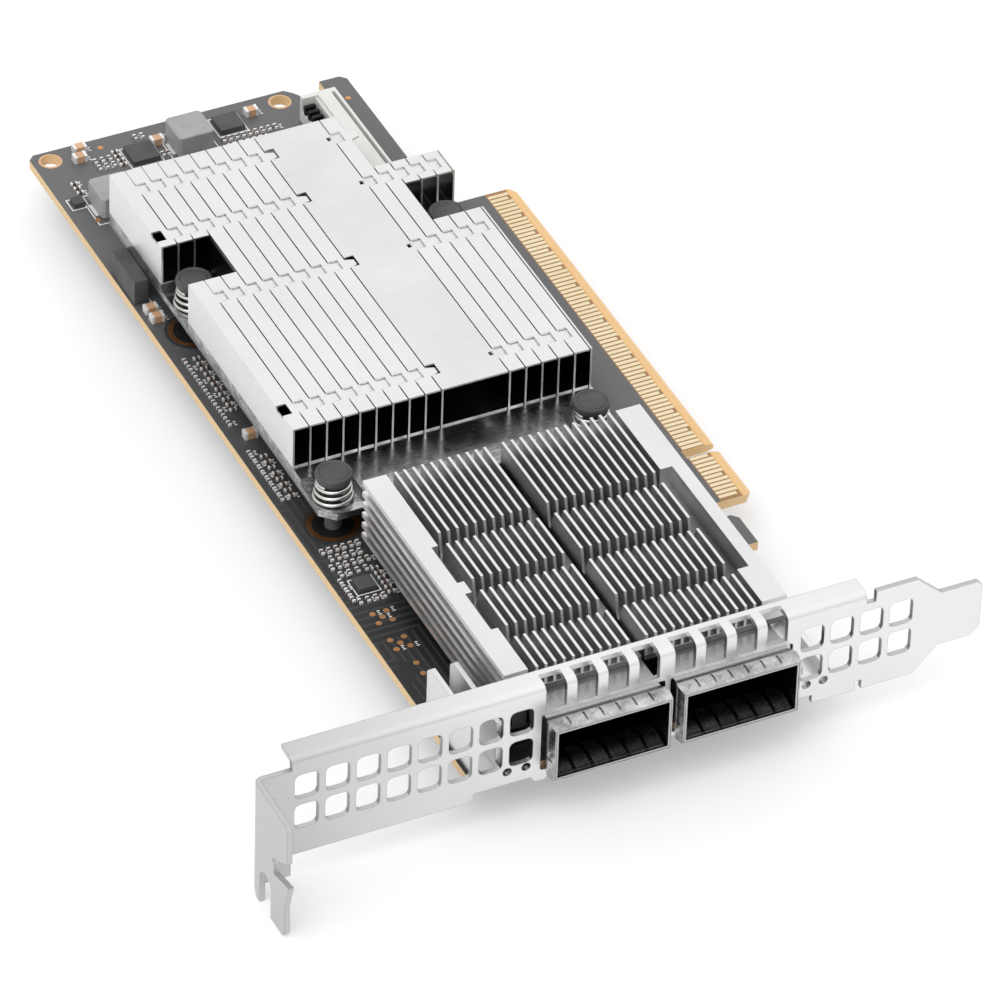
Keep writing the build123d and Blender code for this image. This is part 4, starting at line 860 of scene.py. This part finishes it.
@dataclass
class ScrewSet:
    """The four spring screws and their coils, in finer form than the solids."""

    paints: dict[Slot, Material]  # the materials by slot
    cap_radius: float = 2.95 * MM  # radius of a cap, which sets where the axes are
    neck: float = -0.84  # height where the shank meets the board's face, in millimetres
    turns: float = 3.6  # how many times a coil goes round
    wire: float = 0.27 * MM  # radius of its wire
    flat: float = 0.14  # which share of a coil at each end lies flat
    taper: float = 0.16  # which share of its radius a coil loses towards its top

    def axes(self) -> np.ndarray:
        """Finds where the four screws stand, from the corners of their box.

        Returns:
            A 4 by 3 array of places at height 0.
        """
        low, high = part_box("spring_screws")
        xs = (low[0] + self.cap_radius, high[0] - self.cap_radius)
        ys = (low[1] + self.cap_radius, high[1] - self.cap_radius)
        return np.array([(x, y, 0.0) for x in xs for y in ys])

    def _several(self, name: str, node: str, slot: Slot, shape: Shape) -> Thing:
        """Makes one piece of four equal shapes, one on each screw's axis.

        Args:
            name: the piece's name.
            node: the CAD node that it replaces.
            slot: its material slot.
            shape: points and faces of one shape, round the Z axis.

        Returns:
            The piece.
        """
        points, faces = shape
        places = self.axes()
        every = (places[:, None, :] + points[None]).reshape(-1, 3)
        numbers = (np.arange(len(places))[:, None, None] * len(points) + faces[None]).reshape(-1, 4)
        piece = MeshShop.make(name, every, numbers.tolist(), self.paints[slot], smooth=True)
        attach(piece, BODY)
        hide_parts(node)
        return piece

    def screws(self) -> Thing:
        """Turns the screws: tip, shank, neck and a cap with a rounded rim and a shallow dish.

        Returns:
            The piece.
        """
        low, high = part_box("spring_screws")
        base, crown, under = low[2] / MM, high[2] / MM, self.neck
        profile = (
            (0.0, base), (0.9, base), (1.35, base + 0.35), (1.72, base + 1.1), (1.75, under - 0.2),
            (1.6, under), (1.3, under), (1.3, crown - 3.4), (2.1, crown - 2.35), (2.1, crown - 1.75),
            (2.3, crown - 1.62), (2.62, crown - 1.55), (2.76, crown - 1.42), (2.78, crown - 1.02),
            (2.90, crown - 0.96), (2.95, crown - 0.86), (2.95, crown - 0.40), (2.90, crown - 0.22),
            (2.74, crown - 0.06), (2.60, crown - 0.02), (2.44, crown - 0.02), (2.36, crown - 0.10),
            (2.30, crown - 0.20), (2.22, crown - 0.20), (2.16, crown - 0.10), (2.08, crown - 0.06),
            (1.2, crown - 0.04), (0.0, crown - 0.04),
        )
        shape = MeshShop.lathe(np.array(profile) * MM, 64)
        return self._several("screw_caps", "spring_screws", Slot.BLACK, shape)

    def coils(self, steps: int = 260, sides: int = 12) -> Thing:
        """Winds the coils: a helix that rises and narrows between two flat ends.

        Args:
            steps: how many points lie along the wire.
            sides: how many points go round it.

        Returns:
            The piece.
        """
        low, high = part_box("coil_springs")
        outer = self.axes()[0][0] - low[0]
        t = np.linspace(0, 1, steps)
        rise = np.clip((t - self.flat) / (1 - 2 * self.flat), 0, 1)
        angle = 2 * np.pi * self.turns * t
        radius = (outer - self.wire) * (1 - self.taper * rise)
        z = low[2] + self.wire + (high[2] - low[2] - 2 * self.wire) * rise
        path = np.stack([radius * np.cos(angle), radius * np.sin(angle), z], -1)
        width = np.full(len(t), self.wire)
        width[[0, -1]] = 0.0
        return self._several("screw_coils", "coil_springs", Slot.SPRING, MeshShop.tube(path, width, sides))


@dataclass
class Legend:
    """White printed outlines and ticks on the component side, without any lettering."""

    paint: Material  # the ink's material
    line: float = 0.17 * MM  # width of a printed line
    lift: float = 0.02 * MM  # thickness of the ink
    gap: float = 0.002 * MM  # space between the board's face and the ink
    margin: float = 0.4 * MM  # space that stays free at the board's left and far edges
    # what is printed, as arrays of left, right, near and far limits
    strips: list[np.ndarray] = field(default_factory=list)

    @staticmethod
    def footprints(name: str) -> np.ndarray:
        """Finds the plan of every separate solid in a node, by giving joined points the same label.

        Args:
            name: the node.

        Returns:
            An N by 4 array of left, right, near and far limits.
        """
        points = MeshShop.points_of(name)
        mesh = frame["nodes"][name].data
        edges = np.empty(len(mesh.edges) * 2, dtype=np.int32)
        mesh.edges.foreach_get("vertices", edges)
        _, same = np.unique(points.round(7), axis=0, return_inverse=True)
        same = same.reshape(-1)
        start, end = same[edges.reshape(-1, 2)].T
        label = np.arange(same.max() + 1)
        changed = True
        while changed:
            lowest = np.minimum(label[start], label[end])
            new = label.copy()
            np.minimum.at(new, start, lowest)
            np.minimum.at(new, end, lowest)
            changed = not np.array_equal(new, label)
            label = new
        owner = label[same]
        plans = [points[owner == one][:, :2] for one in np.unique(owner)]
        return np.array([np.stack([p.min(0), p.max(0)], -1).reshape(-1) for p in plans])

    def outline(self, name: str, space: float) -> None:
        """Prints a rectangle round each solid of a node.

        Args:
            name: the node.
            space: space between the part and the line.
        """
        w = self.line
        x0, x1, y0, y1 = (self.footprints(name) + np.array([-space, space, -space, space])).T
        self.strips += [
            np.stack([x0 - w, x1 + w, y0 - w, y0], -1),
            np.stack([x0 - w, x1 + w, y1, y1 + w], -1),
            np.stack([x0 - w, x0, y0, y1], -1),
            np.stack([x1, x1 + w, y0, y1], -1),
        ]

    def ticks(self, name: str, every: int, reach: float) -> None:
        """Prints three short bars beside some solids of a node.

        Args:
            name: the node.
            every: which solids get them: 1 for each, 2 for every second one.
            reach: how far right of the part's middle they lie.
        """
        plans = self.footprints(name)[::every]
        start = plans[:, :2].mean(1) + reach
        middle = plans[:, 2:].mean(1)
        for step, size in ((-0.5 * MM, 0.5 * MM), (-0.08 * MM, 0.32 * MM), (0.34 * MM, 0.5 * MM)):
            near = middle + step
            self.strips.append(np.stack([start, start + size, near, near + self.line], -1))

    def make(self) -> Thing:
        """Makes one piece of all the marks.

        Returns:
            The piece.
        """
        low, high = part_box("circuit_board")
        strips = np.concatenate(self.strips)
        kept = (strips[:, 0] > low[0] + self.margin) & (strips[:, 3] < high[1] - self.margin)
        points, faces = MeshShop.boxes(strips[kept], high[2] + self.gap, high[2] + self.lift)
        piece = MeshShop.make("printed_marks", points, faces.tolist(), self.paint)
        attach(piece, BODY)
        return piece


@dataclass
class MouthSprings:
    """The bowed fingers that grip a module inside a port's mouth, and the thin ridges between them."""

    dark: Material  # the fingers' material
    light: Material  # the ridges' material
    count: int = 6  # how many fingers lie along the floor of each mouth
    length: float = 5.2 * MM  # how far they reach in
    bow: float = 0.55 * MM  # how high they bow
    thick: float = 0.12 * MM  # thickness of the strip
    floor: float = 1.265 * MM  # height of the mouth's floor
    wall: float = 0.5 * MM  # thickness of the mouth's side walls
    start: float = 0.5 * MM  # how far behind the mouth's edge they start
    ridge: float = 0.14 * MM  # width of a ridge
    taper: float = 0.06  # which share of its width a strip loses at each side

    def _strips(self, side: str, kind: str, lefts: np.ndarray, wide: float, paint: Material) -> Thing:
        """Carries a thin rectangle along Y, on a hump like half a sine wave, once for each strip.

        Args:
            side: the port's name.
            kind: the strips' name.
            lefts: the X place of each strip's left side.
            wide: a strip's width.
            paint: its material.

        Returns:
            The piece.
        """
        mouth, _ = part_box(f"{side}_port_collar")
        t = np.linspace(0.0, 1.0, 13)
        y = mouth[1] + self.start + self.length * t
        low = self.floor + self.bow * np.sin(np.pi * t) ** 1.3
        high = low + self.thick
        inward = wide * self.taper * t
        rings = []
        for x in lefts:
            x0, x1 = x + inward, x + wide - inward
            corners = ((x0, low), (x1, low), (x1, high), (x0, high))
            rings.append(np.stack([np.stack([across, y, z], -1) for across, z in corners], 1).reshape(-1, 3))
        first, last = np.array([[0, 3, 2, 1]]), np.array([[0, 1, 2, 3]]) + 4 * (len(t) - 1)
        one = np.concatenate([MeshShop.grid_faces(len(t), 4), first, last])[:, ::-1]
        faces = np.concatenate([one + i * len(t) * 4 for i in range(len(lefts))])
        piece = MeshShop.make(f"{side}_mouth_{kind}", np.concatenate(rings), faces.tolist(), paint)
        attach(piece, BODY)
        return piece

    def make(self, side: str) -> list[Thing]:
        """Makes the fingers and ridges of one port.

        Args:
            side: the port's name, left or right.

        Returns:
            The two pieces.
        """
        low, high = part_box(f"{side}_port_cage")
        pitch = (high[0] - low[0] - 2 * self.wall) / self.count
        starts = low[0] + self.wall + pitch * np.arange(self.count)
        slit = 0.08 * pitch
        fingers = self._strips(side, "fingers", starts + slit, pitch - 2 * slit, self.dark)
        ridges = self._strips(side, "ridges", starts[1:] - self.ridge / 2, self.ridge, self.light)
        return [fingers, ridges]


@dataclass
class LockPlates:
    """Pale plates below the tongues that close the windows of the folded locks, so that no shade from inside
    the fins shows there: painted light.
    """

    paint: Material  # their material
    # the Y places of the rows of locks
    rows: tuple[float, ...] = (18.8 * MM, 48.6 * MM, 66.5 * MM, 79.0 * MM)
    left: float = 0.28 * MM  # how far left of its fin a plate starts
    right: float = 1.85 * MM  # how far right of the fin's left side it ends
    half: float = 1.6 * MM  # half its width along Y
    inside: float = 2.6 * MM  # how far a row has to lie inside a fin for the fin to have it
    drop: float = 0.46 * MM  # how far its upper face lies below the fins' top
    thick: float = 0.05 * MM  # its thickness

    def make(self) -> Thing:
        """Makes one piece of all the plates: a flat box at each row of each fin but the first.

        Returns:
            The piece.
        """
        plans = []
        for name in sorted(frame["nodes"]):
            if not name.startswith("fin_") or name == "fin_01":
                continue
            low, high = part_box(name)
            near, far = low[1] + self.inside, high[1] - self.inside
            x0, x1 = low[0] - self.left, low[0] + self.right
            plans += [(x0, x1, y - self.half, y + self.half) for y in self.rows if near < y < far]
        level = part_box("end_fin")[1][2] - self.drop
        points, faces = MeshShop.boxes(np.array(plans), level - self.thick, level)
        piece = MeshShop.make("lock_plates", points, faces.tolist(), self.paint)
        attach(piece, BODY)
        return piece


@dataclass
class Trimmer:
    """Tidies the edges of carried-over nodes and cuts what their solids lack."""

    angle: float = math.radians(35)  # the angle in radians above which an edge is sharp
    weld: float = 2e-6  # points closer than this are one
    _tree: Tree | None = None

    def _clean_tree(self) -> Tree:
        """Builds the group that joins a node's loose triangles and marks its sharp edges, once.

        Returns:
            The group.
        """
        if self._tree:
            return self._tree
        tree = bpy.data.node_groups.new("clean_edges", "GeometryNodeTree")
        for side in ("INPUT", "OUTPUT"):
            tree.interface.new_socket(name="Geometry", in_out=side, socket_type="NodeSocketGeometry")
        graph = Graph(tree)
        bend = graph.add("GeometryNodeInputMeshEdgeAngle").outputs["Unsigned Angle"]
        limits = {0: bend, 1: self.angle}
        compare = graph.add("FunctionNodeCompare", limits, data_type="FLOAT", operation="GREATER_THAN")
        steps = (
            ("MergeByDistance", {"Distance": self.weld}, {}),
            ("RemoveAttribute", {"Name": "custom_normal"}, {}),
            ("SetShadeSmooth", {"Shade Smooth": True}, {"domain": "FACE"}),
            ("SetShadeSmooth", {"Shade Smooth": False, "Selection": compare.outputs[0]}, {"domain": "EDGE"}),
        )
        source = graph.add("NodeGroupInput").outputs[0]
        for kind, inputs, settings in steps:
            step = graph.add(f"GeometryNode{kind}", {"Geometry": source, **inputs}, **settings)
            source = step.outputs["Geometry"]
        graph.add("NodeGroupOutput", {0: source})
        self._tree = tree
        return tree

    def clean(self, node: Thing, name: str = "clean_edges") -> None:
        """Joins a node's faces along their shared edges and keeps its corners sharp.

        Args:
            node: the carried-over node.
            name: the modifier's name.
        """
        modifier = node.modifiers.new(name, "NODES")
        modifier.node_group = self._clean_tree()

    def soften(self, node: Thing, soft: Softening) -> None:
        """Rounds a node's edges.

        Args:
            node: the carried-over node.
            soft: how far it is rounded.
        """
        self.clean(node)
        edge = node.modifiers.new("soft_edges", "BEVEL")
        edge.width = soft.width
        edge.segments = soft.segments
        edge.limit_method = "ANGLE"
        edge.angle_limit = self.angle
        edge.harden_normals = True

    def cut(self, node: Thing, cutter: Thing) -> None:
        """Cuts a node with a hidden shape.

        Args:
            node: the carried-over node.
            cutter: the shape to take away.
        """
        cutter.hide_render = True
        cutter.display_type = "WIRE"
        self.clean(node, "join_faces")
        cut = node.modifiers.new("cut", "BOOLEAN")
        cut.operation = "DIFFERENCE"
        cut.solver = "EXACT"
        cut.object = cutter
        self.clean(node)

    @staticmethod
    def prisms(name: str, outlines: list[np.ndarray], y0: float, y1: float) -> Thing:
        """Makes closed prisms along Y.

        Args:
            name: the object's name.
            outlines: their outlines, each an N by 2 array of X and Z.
            y0: where they start.
            y1: where they end.

        Returns:
            One object of all of them.
        """
        points, faces, offset = [], [], 0
        for outline in outlines:
            n = len(outline)
            points += [np.stack([outline[:, 0], np.full(n, y), outline[:, 1]], -1) for y in (y0, y1)]
            i = np.arange(n)
            after = (i + 1) % n
            sides = np.stack([i, i + n, after + n, after], -1) + offset
            faces += sides.tolist() + [(i + offset).tolist(), (i[::-1] + n + offset).tolist()]
            offset += 2 * n
        return MeshShop.make(name, np.concatenate(points), faces, None)

    @staticmethod
    def rounded(middle: Pair, size: Pair, radius: float, steps: int = 6) -> np.ndarray:
        """The outline of a rectangle with round corners: a quarter circle round each corner's centre.

        Args:
            middle: its middle, X and Z.
            size: its width and height.
            radius: radius of its corners.
            steps: how many faces each corner has.

        Returns:
            An N by 2 array of X and Z.
        """
        signs = np.array([(1, 1), (-1, 1), (-1, -1), (1, -1)])
        centres = np.array(middle) + signs * (np.array(size) / 2 - radius)
        angle = np.linspace(0, np.pi / 2, steps + 1)[None] + np.arange(4)[:, None] * np.pi / 2
        points = centres[:, None] + radius * np.stack([np.cos(angle), np.sin(angle)], -1)
        return points.reshape(-1, 2)


@dataclass
class Card:
    """The whole dressed card."""

    maker: Paints = field(default_factory=Paints)  # makes the materials
    trimmer: Trimmer = field(default_factory=Trimmer)  # softens and cuts the carried-over nodes
    margin: float = 0.05 * MM  # how far inside the outer walls of the main heatsink its shadow starts
    rib: float = 0.9 * MM  # how far inside a port heatsink's outer side its painted shade starts, which leaves the outer half of its ribs light
    wall: float = 0.2 * MM  # thickness of a cage's walls
    dull_until: float = -60.0 * MM  # X where the painted shade on the bracket's left end fades out
    tongue_from: float = 9.0 * MM  # X past which the bracket is only its tongue
    copper_radius: float = 4.7 * MM  # outer radius of a keep-out ring
    # X and Z of the vents that the bracket's solid lacks
    vents: tuple[Pair, ...] = ((1.74 * MM, 10.595 * MM), (1.74 * MM, 4.845 * MM))
    vent_size: Pair = (3.9 * MM, 4.6 * MM)  # their width and height
    vent_radius: float = 0.9 * MM  # radius of their corners
    # how far left of the left port heatsink's right side its spare fin starts and ends
    spare: Pair = (1.6 * MM, 0.3 * MM)
    spare_depth: float = 3.79 * MM  # how deep that fin is cut away
    past: float = 0.5 * MM  # how far a cutter reaches past what it cuts

    def __post_init__(self) -> None:
        """Makes a material for each slot."""
        self.paints = {slot: self.maker.plain(slot.value, finish) for slot, finish in FINISHES.items()}
        self.paints[Slot.BOARD] = self.maker.board(Slot.BOARD.value, MASK, Laminate())

    def special(self) -> dict[str, Material]:
        """Makes the materials of nodes that don't just have their slot's.

        Returns:
            The materials by node.
        """
        made = {name: self.maker.plain(name, finish) for name, finish in NODE_FINISHES.items()}
        low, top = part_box("fin_01")
        _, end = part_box("end_fin")
        folded = Hollow(low[0] + self.margin, end[0] - self.margin, top[2], 0.60 * MM, 0.5 * MM, 0.12)
        fins = self.maker.plain("folded_fins", FINISHES[Slot.FINS], folded)
        made |= {name: fins for name in frame["nodes"] if name.startswith("fin_") or name == "end_fin"}
        made["centre_channel"] = self.maker.plain("brushed_channel", CHANNEL, folded)
        for side, left, right in zip(SIDES, (self.rib, -FAR_AWAY), (-FAR_AWAY, self.rib)):
            name = f"{side}_port_heatsink"
            low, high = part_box(name)
            cut = Hollow(low[0] + left, high[0] - right, high[2], 0.4 * MM, 4.0 * MM, 0.25, 0.13, 3.9 * MM)
            made[name] = self.maker.plain(name, FINISHES[Slot.PORT_SINK], cut)
            name = f"{side}_port_cage"
            low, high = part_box(name)
            inner = Hollow(low[0] + self.wall, high[0] - self.wall, high[2], self.wall, 0.1 * MM, 1.0, 0.10)
            made[name] = self.maker.plain(name, FINISHES[Slot.CAGE], inner)
        sheet = Sheet(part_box("bracket")[0][0], self.dull_until, *self.plate())
        made["bracket"] = self.maker.plain("bracket_sheet", FINISHES[Slot.BRACKET], sheet=sheet)
        copper = FINISHES[Slot.COPPER]
        made["keep_out_rings"] = self.maker.ringed("keep_out_copper", copper, self.screw_rings())
        return made

    def plate(self) -> Pair:
        """Finds the front and back of the bracket's plate, at its tongue.

        Returns:
            Two Y places.
        """
        points = MeshShop.points_of("bracket")
        tongue = points[points[:, 0] > self.tongue_from][:, 1]
        return float(tongue.min()), float(tongue.max())

    def screw_rings(self) -> Rings:
        """Finds where the bare bands round the spring screws lie, from the corners of their box.

        Returns:
            The bands.
        """
        (x0, y0, _), (x1, y1, _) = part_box("keep_out_rings")
        half = ((x1 - x0) / 2 - self.copper_radius, (y1 - y0) / 2 - self.copper_radius)
        return Rings(((x0 + x1) / 2, (y0 + y1) / 2), half)

    def finish_nodes(self) -> None:
        """Gives every carried-over node its material and its soft edges."""
        slots = {part["node"]: part["material_slot"] for part in frame["record"]["subparts"]}
        special = self.special()
        for name, node in frame["nodes"].items():
            slot = Slot(slots[name])
            material = special.get(name, self.paints[slot])
            if not node.material_slots:
                node.data.materials.append(material)
            for holder in node.material_slots:
                holder.material = material
            if slot in SOFT_EDGES:
                self.trimmer.soften(node, SOFT_EDGES[slot])

    def trim(self) -> None:
        """Cuts the fourth column of vents, and opens the channel between the port heatsinks."""
        vents = [Trimmer.rounded(place, self.vent_size, self.vent_radius) for place in self.vents]
        front, back = self.plate()
        cutter = Trimmer.prisms("vent_cutter", vents, front - self.past, back + self.past)
        self.trimmer.cut(frame["nodes"]["bracket"], cutter)
        low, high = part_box("left_port_heatsink")
        x0, x1 = (high[0] - offset for offset in self.spare)
        z0, z1 = high[2] - self.spare_depth, high[2] + self.past
        fin = np.array([(x1, z0), (x1, z1), (x0, z1), (x0, z0)])
        cutter = Trimmer.prisms("fin_cutter", [fin], low[1] - 2 * self.past, high[1] + 2 * self.past)
        self.trimmer.cut(frame["nodes"]["left_port_heatsink"], cutter)

    def legend(self) -> Thing:
        """Prints the marks round and beside the board's parts.

        Returns:
            The piece.
        """
        legend = Legend(self.maker.plain("white_ink", INK))
        spaces = {"power_stages": 0.35, "small_chips": 0.35, "inductors": 0.75, "tall_block": 0.3}
        for name, space in spaces.items():
            legend.outline(name, space * MM)
        for name, every, reach in (("passives", 2, 0.75), ("big_capacitors", 1, 1.5), ("test_pads", 3, 0.9)):
            legend.ticks(name, every, reach * MM)
        return legend.make()

    def dress(self) -> list[Thing]:
        """Adds the pieces that are finer than their solids.

        Returns:
            The pieces.
        """
        screws = ScrewSet(self.paints)
        plates = LockPlates(self.maker.plain("lock_sheet", LOCK_SHEET))
        springs = MouthSprings(self.maker.plain("inner_steel", INNER_STEEL), self.paints[Slot.COLLAR])
        pieces = [screws.screws(), screws.coils(), self.legend(), plates.make()]
        return pieces + [piece for side in SIDES for piece in springs.make(side)]


class Studio:
    """Camera, floor, backdrop light and lamps."""

    @staticmethod
    def camera(lens: Lens) -> None:
        """Places the camera where the photograph was taken.

        Args:
            lens: the solved camera.
        """
        data = bpy.data.cameras.new("camera")
        data.lens = lens.length
        data.sensor_width = lens.sensor
        data.clip_end = lens.reach
        turn = Matrix.Identity(3)
        for axis, angle in zip("XYZ", (lens.tilt, lens.roll, lens.turn)):
            turn = turn @ Matrix.Rotation(math.radians(angle), 3, axis)
        camera = bpy.data.objects.new("camera", data)
        camera.matrix_world = Matrix.Translation(Vector(lens.place) * MM) @ turn.transposed().to_4x4()
        bpy.context.scene.collection.objects.link(camera)
        bpy.context.scene.camera = camera

    @staticmethod
    def floor(level: float, half: float = 3.0) -> None:
        """Makes the plain pale floor, which glows a little and mirrors darker than it looks.

        Args:
            level: its height in metres.
            half: half its width.
        """
        material = bpy.data.materials.new("floor_paper")
        material.use_nodes = True
        graph = Graph(material.node_tree)
        grain = graph.add("ShaderNodeTexNoise", {"Vector": graph.own(), "Scale": 400.0}).outputs["Fac"]
        paper = graph.blend(grain, (0.64, 0.64, 0.64), (0.66, 0.66, 0.66))
        glossy = graph.add("ShaderNodeLightPath").outputs["Is Glossy Ray"]
        graph.fill(material.node_tree.nodes["Principled BSDF"].inputs, {
            "Base Color": graph.blend(glossy, paper, (0.50, 0.50, 0.505)),
            "Emission Color": WHITE,
            "Emission Strength": 0.30,
            "Roughness": 0.9,
            "Specular IOR Level": 0.1,
        })
        corners = ((-half, -half), (half, -half), (half, half), (-half, half))
        points = np.array([(x, y, level) for x, y in corners])
        floor = MeshShop.make("floor", points, [[0, 1, 2, 3]], material)
        floor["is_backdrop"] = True

    @staticmethod
    def sky() -> None:
        """Makes the white surround, which lights the card more from above than from the side."""
        world = bpy.data.worlds.new("surround")
        bpy.context.scene.world = world
        world.use_nodes = True
        graph = Graph(world.node_tree)
        world.node_tree.nodes.clear()
        rise = graph.spread(graph.parts(graph.own("Generated"))[2], -0.05, 0.60)
        light = graph.blend(rise, (0.60, 0.60, 0.61), WHITE)
        lit = graph.add("ShaderNodeBackground", {"Color": light, "Strength": 0.95}).outputs[0]
        seen = graph.add("ShaderNodeBackground", {"Color": WHITE, "Strength": 1.05}).outputs[0]
        camera = graph.add("ShaderNodeLightPath").outputs["Is Camera Ray"]
        mix = graph.add("ShaderNodeMixShader", {0: camera, 1: lit, 2: seen}).outputs[0]
        graph.add("ShaderNodeOutputWorld", {"Surface": mix})

    @staticmethod
    def lamps(lamps: tuple[Lamp, ...]) -> None:
        """Hangs the soft lights.

        Args:
            lamps: the lights to make.
        """
        for lamp in lamps:
            data = bpy.data.lights.new(lamp.name, "AREA")
            data.shape = "RECTANGLE"
            data.size, data.size_y = lamp.size
            data.energy = lamp.power
            light = bpy.data.objects.new(lamp.name, data)
            place = Vector(lamp.place)
            light.location = place
            light.visible_glossy = lamp.mirrored
            light.rotation_euler = (Vector(lamp.target) - place).to_track_quat("-Z", "Y").to_euler()
            bpy.context.scene.collection.objects.link(light)


def main() -> None:
    """Builds the scene and reports each piece."""
    logging.basicConfig(level=logging.INFO)
    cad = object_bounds()
    bpy.context.scene.view_settings.view_transform = "Standard"
    card = Card()
    card.finish_nodes()
    card.trim()
    for name in frame["nodes"]:
        LOG.info("finished %s", name)
    for piece in card.dress():
        LOG.info("made %s with %d faces", piece.name, len(piece.data.polygons))
    studio = Studio()
    studio.camera(Lens())
    studio.floor(cad[0][2])
    studio.sky()
    studio.lamps(LAMPS)


if __name__ == "__main__":
    main()
